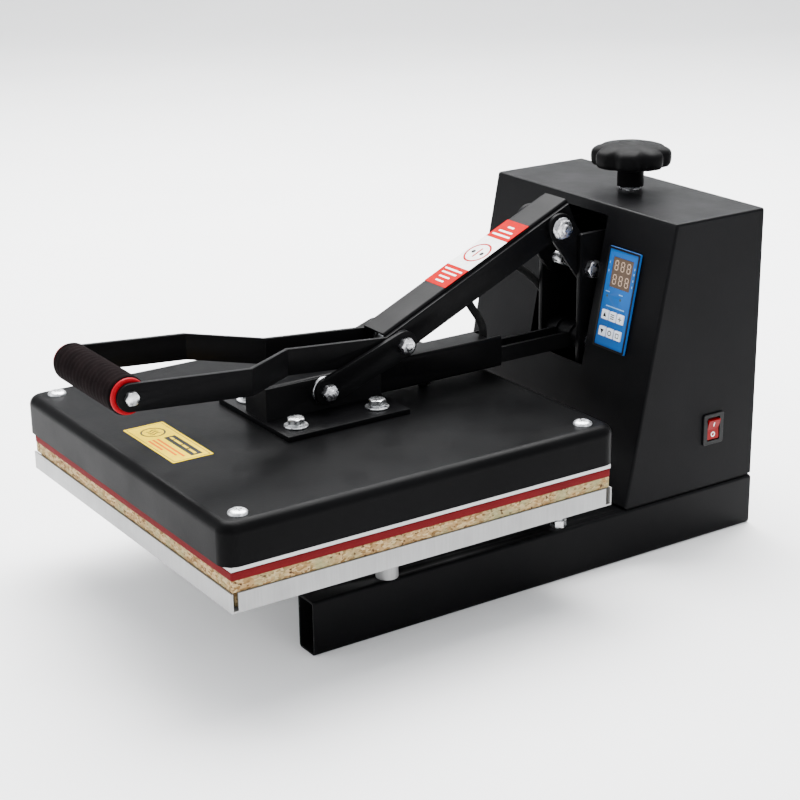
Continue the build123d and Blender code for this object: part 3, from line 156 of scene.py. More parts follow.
# ---------------------------------------------------------------- materials
class Finish:
    """A node material in the making. Textures use object coordinates, which are metres on the machine."""

    def __init__(self, name, colour, roughness, metallic=0.0, **sockets):
        self.material = bpy.data.materials.new(name)
        self.material.use_nodes = True
        self.tree = self.material.node_tree
        self.shader = self.tree.nodes["Principled BSDF"]
        self.set("Base Color", (*colour, 1))
        self.set("Roughness", roughness)
        self.set("Metallic", metallic)
        for socket, value in sockets.items():
            self.set(socket.replace("_", " "), value)
        self.place = self.add("ShaderNodeTexCoord").outputs["Object"]

    def set(self, socket, value):
        """Give one of the shader's sockets a plain value."""
        self.shader.inputs[socket].default_value = value

    def add(self, kind, **values):
        """New node with the given settings."""
        node = self.tree.nodes.new(kind)
        for key, value in values.items():
            setattr(node, key, value)
        return node

    def join(self, start, end):
        """Link an output to an input."""
        self.tree.links.new(start, end)

    def stretched(self, scale):
        """Object coordinates with each axis scaled, for grain that runs one way."""
        node = self.add("ShaderNodeMapping")
        node.inputs["Scale"].default_value = scale
        self.join(self.place, node.inputs["Vector"])
        return node.outputs["Vector"]

    def noise(self, scale, detail=3.0, roughness=0.5, place=None):
        """Smooth noise, from 0 to 1."""
        node = self.add("ShaderNodeTexNoise")
        node.inputs["Scale"].default_value = scale
        node.inputs["Detail"].default_value = detail
        node.inputs["Roughness"].default_value = roughness
        self.join(place or self.place, node.inputs["Vector"])
        return node.outputs["Fac"]

    def cells(self, scale, place=None):
        """Distance to the nearest of scattered points."""
        node = self.add("ShaderNodeTexVoronoi")
        node.inputs["Scale"].default_value = scale
        self.join(place or self.place, node.inputs["Vector"])
        return node.outputs["Distance"]

    def remap(self, value, low, high, to_low, to_high):
        """Value carried from one range to another."""
        node = self.add("ShaderNodeMapRange")
        for key, number in zip(("From Min", "From Max", "To Min", "To Max"), (low, high, to_low, to_high)):
            node.inputs[key].default_value = number
        self.join(value, node.inputs["Value"])
        return node.outputs["Result"]

    def ramp(self, value, *stops):
        """Colour by value: each stop is (place, colour)."""
        node = self.add("ShaderNodeValToRGB")
        elements = node.color_ramp.elements
        while len(elements) < len(stops):
            elements.new(0.5)
        for element, (place, colour) in zip(elements, stops):
            element.position, element.color = place, (*colour, 1)
        self.join(value, node.inputs["Fac"])
        return node.outputs["Color"]

    def mix(self, factor, first, second):
        """Colour between two, each a socket or a colour."""
        node = self.add("ShaderNodeMix", data_type="RGBA")
        for socket, value in ((node.inputs[0], factor), (node.inputs[6], first), (node.inputs[7], second)):
            if isinstance(value, bpy.types.NodeSocket):
                self.join(value, socket)
            else:
                socket.default_value = value if isinstance(value, float) else (*value, 1)
        return node.outputs[2]

    def colour(self, socket):
        """Use a socket as the base colour."""
        self.join(socket, self.shader.inputs["Base Color"])

    def rough(self, socket):
        """Use a socket as the roughness."""
        self.join(socket, self.shader.inputs["Roughness"])

    def bump(self, *layers):
        """Surface relief from (height, depth in metres) layers."""
        normal = None
        for height, depth in layers:
            node = self.add("ShaderNodeBump")
            node.inputs["Strength"].default_value = 1.0
            node.inputs["Distance"].default_value = depth
            self.join(height, node.inputs["Height"])
            if normal is not None:
                self.join(normal, node.inputs["Normal"])
            normal = node.outputs["Normal"]
        self.join(normal, self.shader.inputs["Normal"])


def shade(colour, factor):
    """Colour made lighter or darker."""
    return tuple(c * factor for c in colour)


def powder_coat(name, colour, roughness, peel=0.00006, shine=0.06):
    """Baked powder paint: fine orange peel, faint mottling and slightly uneven gloss."""
    paint = Finish(name, colour, roughness, Specular_IOR_Level=shine)
    mottle = paint.noise(9, 4)
    paint.colour(paint.ramp(mottle, (0.3, shade(colour, 0.82)), (0.75, shade(colour, 1.25))))
    paint.rough(paint.remap(paint.noise(26, 5), 0.3, 0.7, roughness - 0.05, roughness + 0.07))
    paint.bump((paint.noise(620, 2), peel), (paint.noise(70, 2), peel * 0.8))
    return paint.material


def brushed(name, colour, roughness, along):
    """Metal with fine lines that run along one axis."""
    metal = Finish(name, colour, roughness, 1.0)
    lines = metal.noise(1, 3, 0.6, metal.stretched([12 if a == along else 1800 for a in "xyz"]))
    cloud = metal.noise(14, 4)
    share = metal.remap(lines, 0.35, 0.65, 0.0, 1.0)
    metal.colour(metal.mix(share, shade(colour, 0.86), shade(colour, 1.08)))
    metal.rough(metal.remap(cloud, 0.3, 0.7, roughness - 0.07, roughness + 0.1))
    metal.bump((lines, 0.00002))
    return metal.material


def bent_sheet():
    """Aluminium tray: dull rolled sheet with short upright rub marks and grey smudges."""
    colour = (0.31, 0.31, 0.308)
    metal = Finish("tray_sheet", colour, 0.46, 0.55)
    upright = metal.noise(1, 3, 0.6, metal.stretched([520, 520, 25]))
    smudge = metal.noise(22, 5, 0.65)
    rubbed = metal.remap(upright, 0.35, 0.68, 0.0, 1.0)
    base = metal.mix(rubbed, shade(colour, 0.93), shade(colour, 1.04))
    grey = metal.mix(metal.remap(smudge, 0.55, 0.75, 0.0, 0.35), base, shade(colour, 0.78))
    metal.colour(grey)
    metal.rough(metal.remap(smudge, 0.3, 0.7, 0.42, 0.56))
    metal.bump((upright, 0.000005), (metal.noise(40, 3), 0.00004))
    return metal.material


def plated(name, colour, roughness):
    """Bright plating with faint blotches, uneven gloss and a fine grain."""
    metal = Finish(name, colour, roughness, 1.0)
    blotch = metal.noise(160, 4)
    metal.colour(metal.ramp(blotch, (0.3, shade(colour, 0.82)), (0.7, colour)))
    metal.rough(metal.remap(metal.noise(300, 3), 0.3, 0.7, roughness * 0.6, roughness * 1.5))
    metal.bump((metal.noise(900, 2), 0.00001))
    return metal.material


def particle_board():
    """Pressed chips: tan flakes of mixed tone, with dark bark specks and some green-grey ones."""
    board = Finish("board_chips", (0.55, 0.38, 0.20), 0.85, Specular_IOR_Level=0.1)
    place = board.stretched([330, 330, 620])
    flake = board.add("ShaderNodeTexVoronoi")
    flake.inputs["Scale"].default_value = 1.0
    board.join(place, flake.inputs["Vector"])
    tone = board.add("ShaderNodeSeparateColor")
    board.join(flake.outputs["Color"], tone.inputs["Color"])
    chips = board.ramp(tone.outputs[0], (0.0, (0.15, 0.08, 0.03)), (0.3, (0.28, 0.17, 0.07)),
                       (0.65, (0.37, 0.245, 0.115)), (1.0, (0.50, 0.37, 0.20)))
    cloud = board.noise(45, 4, 0.6)
    tinted = board.mix(board.remap(cloud, 0.48, 0.68, 0.0, 0.75), chips, (0.27, 0.27, 0.14))
    specks = board.remap(board.noise(1, 2, 0.5, board.stretched([210, 210, 300])), 0.62, 0.68, 0.0, 0.95)
    dark = board.mix(specks, tinted, (0.05, 0.02, 0.01))
    board.colour(dark)
    board.bump((flake.outputs["Distance"], 0.0004), (board.noise(900, 4), 0.00025))
    return board.material


def sponge_silicone():
    """Matt deep-red sponge rubber with pores at its cut edge; the colour is darkened in the pores as painted
    shade.
    """
    colour = (0.105, 0.0035, 0.005)
    pad = Finish("silicone_sponge", colour, 0.75, Specular_IOR_Level=0.1)
    cloud = pad.noise(30, 4)
    pores_and_painted_shade = pad.cells(900)
    toned = pad.ramp(cloud, (0.25, shade(colour, 0.88)), (0.8, shade(colour, 1.12)))
    # painted shade: the colour is darkened in each pore, where shade would fall in the pit; the same pores also
    # give the bump
    pad.colour(pad.mix(pad.remap(pores_and_painted_shade, 0.0, 0.28, 0.55, 0.0), toned, shade(colour, 0.45)))
    pad.bump((pores_and_painted_shade, 0.00012), (pad.noise(60, 3), 0.00012))
    return pad.material


def mineral_wool():
    """Pale wool whose fibres run along x."""
    colour = (0.82, 0.78, 0.66)
    wool = Finish("mineral_wool", colour, 0.95, Sheen_Weight=0.4)
    fibres = wool.noise(1, 5, 0.7, wool.stretched([90, 900, 900]))
    wool.colour(wool.ramp(fibres, (0.3, shade(colour, 0.7)), (0.7, shade(colour, 1.1))))
    wool.bump((fibres, 0.0008))
    return wool.material


def closed_foam():
    """Dark brown-black foam sleeve, matt, with open cells at its skin."""
    colour = (0.0042, 0.0026, 0.0027)
    foam = Finish("handle_foam", colour, 0.92, Specular_IOR_Level=0.02)
    cells = foam.cells(1300)
    foam.colour(foam.ramp(foam.noise(60, 5), (0.3, shade(colour, 0.7)), (0.75, shade(colour, 1.5))))
    foam.bump((cells, 0.00008), (foam.noise(240, 4), 0.00010))
    return foam.material


def moulded(name, colour, roughness, grain=0.00004, scale=700, **sockets):
    """Injection-moulded plastic with a fine eroded grain."""
    plastic = Finish(name, colour, roughness, **sockets)
    mottle = plastic.noise(18, 4)
    plastic.colour(plastic.ramp(mottle, (0.3, shade(colour, 0.86)), (0.75, shade(colour, 1.12))))
    plastic.rough(plastic.remap(plastic.noise(90, 4), 0.3, 0.7, roughness - 0.04, roughness + 0.08))
    plastic.bump((plastic.noise(scale, 2), grain))
    return plastic.material


def smoked_glass():
    """Tinted clear window with slightly uneven gloss."""
    glass = Finish("smoked_window", (0.16, 0.13, 0.11), 0.12, Transmission_Weight=0.85, IOR=1.45)
    glass.rough(glass.remap(glass.noise(60, 3), 0.3, 0.7, 0.08, 0.2))
    return glass.material


def circuit_board():
    """Dark green board with small coppery spots."""
    board = Finish("circuit_board", (0.02, 0.10, 0.04), 0.45)
    tracks = board.cells(260, board.stretched([1, 1, 2]))
    board.colour(board.ramp(tracks, (0.2, (0.06, 0.05, 0.02)), (0.32, (0.01, 0.05, 0.02))))
    return board.material


def braided_sleeve():
    """Black glass-fibre sleeve: a fine crossed braid."""
    sleeve = Finish("lead_braid", (0.006, 0.006, 0.006), 0.7, Specular_IOR_Level=0.1)
    strands = []
    for place in (sleeve.place, sleeve.stretched([-1, 1, 1])):
        wave = sleeve.add("ShaderNodeTexWave", bands_direction="DIAGONAL")
        wave.inputs["Scale"].default_value = 260
        sleeve.join(place, wave.inputs["Vector"])
        strands.append((wave.outputs["Fac"], 0.0002))
    dust = sleeve.noise(200, 3)
    sleeve.colour(sleeve.ramp(dust, (0.3, (0.004, 0.004, 0.004)), (0.7, (0.012, 0.012, 0.012))))
    sleeve.bump(*strands)
    return sleeve.material


def make_finishes():
    """One material for each of the record's slots."""
    return {
        "black_powder_coat": powder_coat("frame_powder_coat", (0.0030, 0.0030, 0.0033), 0.34, shine=0.035),
        "cabinet_paint": powder_coat("cabinet_powder_coat", (0.0030, 0.0030, 0.0034), 0.38, 0.00008, 0.045),
        "cover_paint": powder_coat("cover_powder_coat", (0.0024, 0.0024, 0.0026), 0.34, shine=0.025),
        "tray_aluminium": bent_sheet(),
        "plate_aluminium": brushed("plate_cast", (0.36, 0.36, 0.36), 0.38, "x"),
        "zinc_hardware": plated("zinc_plate", (0.66, 0.67, 0.68), 0.30),
        "chrome_hardware": plated("chrome_plate", (0.70, 0.70, 0.72), 0.28),
        "particle_board": particle_board(),
        "silicone_red": sponge_silicone(),
        "insulation_wool": mineral_wool(),
        "grip_foam": closed_foam(),
        "collar_red": moulded("collar_plastic", (0.30, 0.0015, 0.008), 0.4, Specular_IOR_Level=0.05),
        "knob_black": moulded("knob_phenolic", (0.003, 0.003, 0.0032), 0.46, 0.00003, 500,
                              Specular_IOR_Level=0.03),
        "fascia_blue": moulded("fascia_overlay", (0.005, 0.10, 0.37), 0.42, 0.00002, 1200,
                               Specular_IOR_Level=0.12),
        "display_glass": smoked_glass(),
        "board_dark": circuit_board(),
        "housing_black": moulded("housing_plastic", (0.003, 0.003, 0.0034), 0.40, Specular_IOR_Level=0.15),
        "key_white": moulded("key_rubber", (0.88, 0.92, 1.0), 0.5, 0.00002, 1500),
        "switch_red": moulded("paddle_plastic", (0.20, 0.0005, 0.002), 0.3, 0.00001, 400,
                              Specular_IOR_Level=0.1),
        "lead_sleeve": braided_sleeve(),
    }


FINISH = make_finishes()


def dress_nodes():
    """Give each CAD piece its slot's material."""
    for name, node in NODES.items():
        node.data.materials.clear()
        node.data.materials.append(FINISH[SLOT_OF[name]])


# ---------------------------------------------------------------- mesh making
def local_frame(origin, z_axis, x_axis):
    """Matrix whose local z and x point along the given directions."""
    z = Vector(z_axis).normalized()
    x = (Vector(x_axis) - z * z.dot(Vector(x_axis))).normalized()
    return Matrix.Translation(origin) @ Matrix((x, z.cross(x), z)).transposed().to_4x4()


def hexagon(angle, apothem):
    """Radius of a hexagon in a direction."""
    return apothem / cos((angle + pi / 6) % (pi / 3) - pi / 6)


class Shape:
    """A mesh in the making. Lengths are millimetres in a local frame."""

    def __init__(self, place=None):
        self.bm = bmesh.new()
        self.place = place or Matrix()

    def point(self, x, y, z):
        """New vertex at a place in the local frame."""
        return self.bm.verts.new(self.place @ Vector((x * MM, y * MM, z * MM)))

    def skin(self, rings, looped=False):
        """Faces between closed rings of equal length; the ends are capped, or joined if looped."""
        rows = [[self.point(*p) for p in ring] for ring in rings]
        pairs = list(zip(rows, rows[1:])) + ([(rows[-1], rows[0])] if looped else [])
        for low, high in pairs:
            for i in range(len(low)):
                j = (i + 1) % len(low)
                self.bm.faces.new((low[i], low[j], high[j], high[i]))
        if not looped:
            self.bm.faces.new(rows[0][::-1])
            self.bm.faces.new(rows[-1])

    def turned(self, profile, steps, looped=False):
        """Surface of revolution about local z from (radius, height) points."""
        angles = [2 * pi * i / steps for i in range(steps)]
        self.skin([[(r * cos(a), r * sin(a), z) for a in angles] for r, z in profile], looped)

    def hex_head(self, apothem, low, high, chamfer):
        """Hexagon with its outer corners turned to a cone."""
        steps = 96
        angles = [2 * pi * i / steps for i in range(steps)]
        flat = apothem * 0.94
        rings = [[(hexagon(a, apothem) * cos(a), hexagon(a, apothem) * sin(a), low) for a in angles]]
        for i in range(7):
            z = high - chamfer * (1 - i / 6)
            cone = flat + (high - z) * 1.9
            radii = [min(hexagon(a, apothem), cone) for a in angles]
            rings.append([(r * cos(a), r * sin(a), z) for r, a in zip(radii, angles)])
        self.skin(rings)

    def threads(self, radius, low, high):
        """Bolt tip: a turned zigzag with a rounded end."""
        pitch = 1.25
        profile = [(radius, low)]
        z = low
        while z + pitch < high - 0.8:
            profile += [(radius, z + pitch * 0.1), (radius - 0.45, z + pitch * 0.5),
                        (radius, z + pitch * 0.9)]
            z += pitch
        profile += [(radius, high - 0.9), (radius - 0.5, high - 0.25), (radius - 1.1, high)]
        self.turned(profile, 48)

    def washer(self, inner, outer, low, high, round_off=0.35):
        """Flat ring with eased outer edges."""
        r = round_off
        self.turned([(inner, low), (outer - r, low), (outer, low + r), (outer, high - r), (outer - r, high),
                     (inner, high)], 72, looped=True)

    def slab(self, outline, low, high, round_off=0.0):
        """Prism over an outline of (x, y) points, its far edge eased."""
        rings = [[(x, y, low) for x, y in outline]]
        if round_off:
            cx = sum(x for x, y in outline) / len(outline)
            cy = sum(y for x, y in outline) / len(outline)
            rings.append([(x, y, high - round_off) for x, y in outline])
            eased = []
            for x, y in outline:
                d = sqrt((x - cx) ** 2 + (y - cy) ** 2) or 1.0
                eased.append((x - (x - cx) / d * round_off, y - (y - cy) / d * round_off, high))
            rings.append(eased)
        else:
            rings.append([(x, y, high) for x, y in outline])
        self.skin(rings)

    def piece(self, name, body, finish, *replaced, sharp=32):
        """Finish the mesh as a piece; it rides on a body if one is named."""
        bmesh.ops.remove_doubles(self.bm, verts=self.bm.verts, dist=1e-7)
        bmesh.ops.recalc_face_normals(self.bm, faces=self.bm.faces)
        mesh = bpy.data.meshes.new(name)
        self.bm.to_mesh(mesh)
        self.bm.free()
        mesh.shade_smooth()
        mesh.set_sharp_from_angle(angle=radians(sharp))
        mesh.materials.append(FINISH[finish])
        item = bpy.data.objects.new(name, mesh)
        bpy.context.scene.collection.objects.link(item)
        if body:
            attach(item, body)
        if replaced:
            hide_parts(*replaced)
        return item


def box_outline(width, height, radius=0.0, x=0.0, y=0.0, steps=5):
    """Outline of a rectangle with rounded corners, about a middle point."""
    w, h = width / 2, height / 2
    if not radius:
        return [(x - w, y - h), (x + w, y - h), (x + w, y + h), (x - w, y + h)]
    outline = []
    for k, (cx, cy) in enumerate(((w - radius, h - radius), (radius - w, h - radius),
                                  (radius - w, radius - h), (w - radius, radius - h))):
        for i in range(steps + 1):
            a = pi / 2 * (k + i / steps)
            outline.append((x + cx + radius * cos(a), y + cy + radius * sin(a)))
    return outline


def disc_outline(radius, x=0.0, y=0.0):
    """Outline of a disc about a middle point."""
    steps = 40
    angles = [2 * pi * i / steps for i in range(steps)]
    return [(x + radius * cos(a), y + radius * sin(a)) for a in angles]


def softened(node, width):
    """The CAD piece with its sharp edges rounded, shown in the CAD node's place."""
    weld, flat, sharp = 2e-6, radians(0.4), radians(30)
    shape = Shape()
    shape.bm.from_mesh(NODES[node].data)
    bmesh.ops.remove_doubles(shape.bm, verts=shape.bm.verts, dist=weld)
    bmesh.ops.dissolve_limit(shape.bm, angle_limit=flat, verts=shape.bm.verts, edges=shape.bm.edges)
    edges = [e for e in shape.bm.edges if len(e.link_faces) == 2 and e.calc_face_angle() > sharp]
    bmesh.ops.bevel(shape.bm, geom=edges, offset=width * MM, offset_type="OFFSET", segments=2, profile=0.6,
                    affect="EDGES", clamp_overlap=True, harden_normals=False)
    shape.piece(node + "_body", BODY_OF[node], SLOT_OF[node], node, sharp=40)


# ---------------------------------------------------------------- fasteners
def cross_slot(angle, arm, core):
    """Radius of a cross-shaped driver recess in a direction."""
    off = abs((angle + pi / 4) % (pi / 2) - pi / 4)
    return arm if off < radians(13) else core


def pan_head(shape, radius, height):
    """Domed screw head with a cross recess."""
    steps, dome = 96, radians(72)
    angles = [2 * pi * i / steps for i in range(steps)]
    rings = [[(radius * cos(a), radius * sin(a), 0.0) for a in angles]]
    for i in range(1, 9):
        t = i / 8 * dome
        r = radius * (1 - 0.44 * (1 - cos(t)) / (1 - cos(dome)))
        z = height * sin(t) / sin(dome)
        rings.append([(r * cos(a), r * sin(a), z) for a in angles])
    for scale, z in ((1.0, height), (1.0, height - 1.1), (0.35, height - 1.7)):
        radii = [cross_slot(a, radius * 0.40 * scale, radius * 0.11 * scale) for a in angles]
        rings.append([(r * cos(a), r * sin(a), z) for r, a in zip(radii, angles)])
    shape.skin(rings)


def cover_screw_pieces():
    """Domed cross-head screws at the cover's corners, each turned its own way."""
    low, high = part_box("cover_screws")
    cover_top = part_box("heat_cover")[1].z
    radius, head = 8.5, (high.z - cover_top) / MM
    for i, x in enumerate((low.x + radius * MM, high.x - radius * MM)):
        for j, y in enumerate((low.y + radius * MM, high.y - radius * MM)):
            spin = Vector((cos(0.5 + i + 2 * j), sin(0.5 + i + 2 * j), 0))
            screw = Shape(local_frame((x, y, cover_top), Z, spin))
            pan_head(screw, radius, head)
            screw.turned([(2.5, (low.z - cover_top) / MM), (2.5, 0.2)], 24)
            screw.piece(f"cover_screw_{2 * i + j + 1}", "arm", "zinc_hardware", "cover_screws", sharp=40)


def mounting_bolt_pieces():
    """Flat washer, spring washer and a chamfered hexagon at each corner of the arm's plate."""
    low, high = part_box("mounting_bolts")
    washer_r, stack = 11, 8.4
    plate_top = high.z - stack * MM
    for i, x in enumerate((low.x + washer_r * MM, high.x - washer_r * MM)):
        for j, y in enumerate((low.y + washer_r * MM, high.y - washer_r * MM)):
            turn = 0.35 + 0.8 * i + 1.3 * j
            bolt = Shape(local_frame((x, y, plate_top), Z, (cos(turn), sin(turn), 0)))
            bolt.washer(5, washer_r, 0, 1.8, 0.5)
            bolt.washer(5, 7.6, 1.8, 3.2, 0.25)
            bolt.hex_head(7.0, 3.2, 8.3, 1.1)
            bolt.turned([(5, (low.z - plate_top) / MM), (5, 3.0)], 32)
            bolt.piece(f"mounting_bolt_{2 * i + j + 1}", "arm", "zinc_hardware", "mounting_bolts")


def nut_and_tip(shape, apothem, start, nut, tip_r, tip):
    """Hexagon nut with a threaded bolt tip beyond it, from a height along the bolt."""
    shape.hex_head(apothem, start, start + nut, 0.9)
    shape.threads(tip_r, start + nut - 0.3, start + nut + tip)


def across_bolt(name, body, slot, node, pivot, right, left=None):
    """Bolt along X about a pivot. right and left add what shows there; without left, right is mirrored."""
    bolt = Shape(local_frame(pivot, X, Z))
    right(bolt)
    bolt.place = local_frame(pivot, -X, Z)
    (left or right)(bolt)
    bolt.piece(name, body, slot, node)


def pivot_bolt_pieces():
    """Bolts of the toggle's pivots, with what shows of them on both sides."""
    end_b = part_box("arm_pivot_bolt")[1].x / MM
    reach_b, nut_b = 27.0, 6.2

    def shank_at_b(shape):
        """Washer outside the link, and the shank."""
        shape.washer(4, 12.5, 18.6, 21.9, 0.5)
        shape.turned([(4, 0), (4, reach_b + 2)], 32)

    def nut_at_b(shape):
        """Right end: nut and threaded tip."""
        shank_at_b(shape)
        nut_and_tip(shape, 6.5, reach_b, nut_b, 3.9, end_b - reach_b - nut_b)

    def head_at_b(shape):
        """Left end: hexagon head."""
        shank_at_b(shape)
        shape.hex_head(6.5, reach_b, reach_b + 5.6, 1.0)

    across_bolt("arm_pivot_bolt_set", "arm", "chrome_hardware", "arm_pivot_bolt", PIVOT_B,
                nut_at_b, head_at_b)

    def at_c(shape):
        """Stud, nut and tip outside the link."""
        shape.turned([(4, 22.1), (4, 27.5)], 32)
        nut_and_tip(shape, 6.5, 27.0, 6.3, 3.6, 2.6)

    across_bolt("link_stud_set", "links", "chrome_hardware", "link_studs", PIVOT_C, at_c)

    def at_d(shape):
        """Bolt, washer, nut and tip outside the rocker."""
        shape.turned([(6, 0), (6, 28)], 40)
        shape.washer(6, 10.5, 26.0, 28.0, 0.5)
        nut_and_tip(shape, 8.2, 28.0, 4.6, 4.8, 1.9)

    across_bolt("rocker_bolt_set", "rocker", "chrome_hardware", "rocker_bolt", PIVOT_D, at_d)
    pivot_p = centre("rocker_pivot_bolt")

    def at_p(shape):
        """Bolt and hexagon head outside the tower."""
        shape.turned([(6, 0), (6, 32)], 40)
        shape.hex_head(7.8, 31.6, 38.0, 1.2)

    across_bolt("rocker_pivot_bolt_set", "root", "chrome_hardware", "rocker_pivot_bolt", pivot_p, at_p)


def grip_pieces():
    """Ribbed foam sleeve, red end rings and the cross bolt that holds them."""
    grip = centre("grip_foam")
    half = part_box("grip_foam")[1].x / MM
    radius = (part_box("grip_foam")[1].z - grip.z) / MM
    ribs, steps, bore = 17, 8, 11
    profile = [(bore, -half), (radius - 2.0, -half)]
    for i in range(ribs * steps + 1):
        t = i / steps
        edge = min(1.0, min(t, ribs - t) / 0.35)
        swell = sin(pi * t) ** 2
        r = radius - 0.3 + 0.28 * swell - 1.3 * (1 - sqrt(max(0.0, 1 - (1 - edge) ** 2)))
        profile.append((r, -half + 2 * half * i / (ribs * steps)))
    profile += [(radius - 2.0, half), (bore, half)]
    sleeve = Shape(local_frame(grip, X, Z))
    sleeve.turned(profile, 96, looped=True)
    sleeve = sleeve.piece("grip_sleeve", "lever", "grip_foam", "grip_foam", sharp=70)
    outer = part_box("grip_collars")[1].x / MM
    ring_r = (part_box("grip_collars")[1].z - grip.z) / MM
    for name, side_x in (("grip_ring_left", -X), ("grip_ring_right", X)):
        ring = Shape(local_frame(grip, side_x, Z))
        ring.turned([(bore, half), (ring_r - 0.6, half), (ring_r, half + 0.5), (ring_r, outer - 1.2),
                     (ring_r - 0.4, outer - 0.4), (ring_r - 1.4, outer), (12.6, outer), (bore, outer - 0.4)],
                    96, looped=True)
        ring.piece(name, "lever", "collar_red", "grip_collars", sharp=50)
    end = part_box("grip_axle")[1].x / MM

    def at_end(shape):
        """Plug inside the sleeve, bolt and hexagon head."""
        shape.turned([(10.9, 0), (10.9, outer)], 48)
        shape.turned([(4, outer - 1), (4, end - 4)], 24)
        shape.hex_head(5.6, end - 4.0, end, 1.1)

    across_bolt("grip_axle_set", "lever", "zinc_hardware", "grip_axle", grip, at_end)


def knob_piece():
    """Eight-lobed moulded knob: domed, scalloped round its rim, with a short neck."""
    low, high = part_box("pressure_knob")
    axis = Vector(((low.x + high.x) / 2, (low.y + high.y) / 2, 0))
    neck_low, rim_low, top = low.z / MM, 340.0, high.z / MM
    lobes, lobe_depth, steps, full = 8, 4.6, 240, (high.x - low.x) / 2 / MM

    def scallop(angle):
        """1 on a lobe, 0 in the bottom of a hollow."""
        wave = 0.5 + 0.5 * cos(lobes * angle)
        return 1 - (1 - wave) ** 3.0

    rows = [(13.0, 0.0, neck_low), (13.0, 0.0, rim_low - 1.2), (13.8, 0.0, rim_low - 0.3), (16, 0.0, rim_low),
            (full - 5.5, 0.6, rim_low), (full - 2.6, 0.9, rim_low + 0.8), (full - 1.0, 1.0, rim_low + 2.6),
            (full - 0.3, 1.0, rim_low + 5.0), (full, 1.0, rim_low + 9.0), (full - 0.2, 1.0, top - 9.5),
            (full - 1.0, 1.0, top - 7.6), (full - 2.6, 0.95, top - 5.9), (full - 5.2, 0.75, top - 4.5),
            (full - 9, 0.35, top - 3.2), (full - 14, 0.08, top - 2.0), (full - 20, 0.0, top - 1.0),
            (full - 26, 0.0, top - 0.45), (12.6, 0.0, top - 0.35), (12.2, 0.0, top - 0.6),
            (11.4, 0.0, top - 0.6), (11.0, 0.0, top - 0.3), (6, 0.0, top), (1.0, 0.0, top)]
    angles = [2 * pi * i / steps for i in range(steps)]
    rings = []
    for radius, share, z in rows:
        radii = [radius - lobe_depth * share * (1 - scallop(a)) for a in angles]
        rings.append([(r * cos(a), r * sin(a), z) for r, a in zip(radii, angles)])
    knob = Shape(Matrix.Translation(axis))
    knob.skin(rings)
    knob.piece("pressure_knob_moulding", "knob", "knob_black", "pressure_knob", sharp=55)
    nut = Shape(Matrix.Translation(axis))
    nut.washer(6, 10.5, neck_low - 2.9, neck_low - 1.3, 0.4)
    nut.hex_head(8.0, neck_low - 1.3, neck_low, 0.6)
    nut.piece("spindle_jam_nut", "knob", "chrome_hardware")


# ---------------------------------------------------------------- labels
def ink(name, colour, roughness=0.45, shine=0.08):
    """Finish of a print or film; its name is not one of the record's slots."""
    paint = Finish(name, colour, roughness, Specular_IOR_Level=shine)
    paint.colour(paint.ramp(paint.noise(220, 3), (0.3, shade(colour, 0.9)), (0.7, shade(colour, 1.06))))
    paint.bump((paint.noise(1500, 2), 0.000008))
    FINISH[name] = paint.material


def make_inks():
    """Finishes of the labels, the marks and the display."""
    ink("label_yellow", (0.66, 0.46, 0.0004), 0.7, 0.01)
    ink("label_dark", (0.006, 0.006, 0.007))
    ink("label_orange", (0.55, 0.10, 0.002), 0.6, 0.01)
    ink("label_white", (0.86, 0.86, 0.85), 0.34)
    ink("label_red", (0.38, 0.002, 0.005), 0.6, 0.01)
    ink("display_face", (0.10, 0.068, 0.048), 0.3)
    ink("display_segment", (0.50, 0.36, 0.26), 0.4)
    ink("lamp_lens", (0.20, 0.45, 0.72), 0.2)


def printed(name, place, body, finish, outlines, height, thickness=0.06, holes=()):
    """Thin film on a surface: a slab for each outline, and a ring for each (outer, inner) pair in holes."""
    film = Shape(place)
    for outline in outlines:
        film.slab(outline, height, height + thickness)
    for outer, inner in holes:
        rings = [[(x, y, z) for x, y in ring] for ring, z in
                 ((outer, height), (outer, height + thickness), (inner, height + thickness), (inner, height))]
        film.skin(rings, looped=True)
    film.piece(name, body, finish)


def wavy_bar(x, y, length, width, swing):
    """Outline of an upright bar that waves like rising heat."""
    steps = 14
    side_a, side_b = [], []
    for i in range(steps + 1):
        t = i / steps
        shift = swing * sin(2 * pi * t)
        side_a.append((x + shift - width / 2, y + (t - 0.5) * length))
        side_b.append((x + shift + width / 2, y + (t - 0.5) * length))
    return side_a[::-1] + side_b


def cover_label():
    """Plain yellow label with a border, a ring with three wavy bars and blank printed bars."""
    low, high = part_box("heat_cover")
    from_front, width, depth = 50.5, 96.0, 38.5
    ring_x, thick = -28, 0.2
    place = local_frame((0, low.y + from_front * MM, high.z), Z, X)
    film = Shape(place)
    film.slab(box_outline(width, depth, 1.2), 0.02, thick, 0.05)
    film.piece("cover_label", "arm", "label_yellow")
    border = (box_outline(width - 4, depth - 4, 1), box_outline(width - 5.2, depth - 5.2, 0.7))
    ring = (disc_outline(11.2, ring_x, 0), disc_outline(9.6, ring_x, 0))
    waves = [wavy_bar(x, 0, 10, 1.6, 1.3) for x in (ring_x - 4, ring_x, ring_x + 4)]
    printed("cover_label_border", place, "arm", "label_dark", waves, thick, holes=[border, ring])
    printed("cover_label_band", place, "arm", "label_dark", [box_outline(52, 11, 0.8, 15, 7)], thick)
    bars = [box_outline(w, 2.2, 0.4, x, y) for w, x, y in ((50, 14, -4.2), (44, 11, -8.6), (26, 2, -12.6))]
    printed("cover_label_bars", place, "arm", "label_orange", bars, thick)
    band_bars = [box_outline(w, 2.6, 0.4, x, 7) for w, x in ((6, -5), (13, 6), (9, 19), (12, 32))]
    printed("cover_label_band_bars", place, "arm", "label_yellow", band_bars, thick + 0.06)


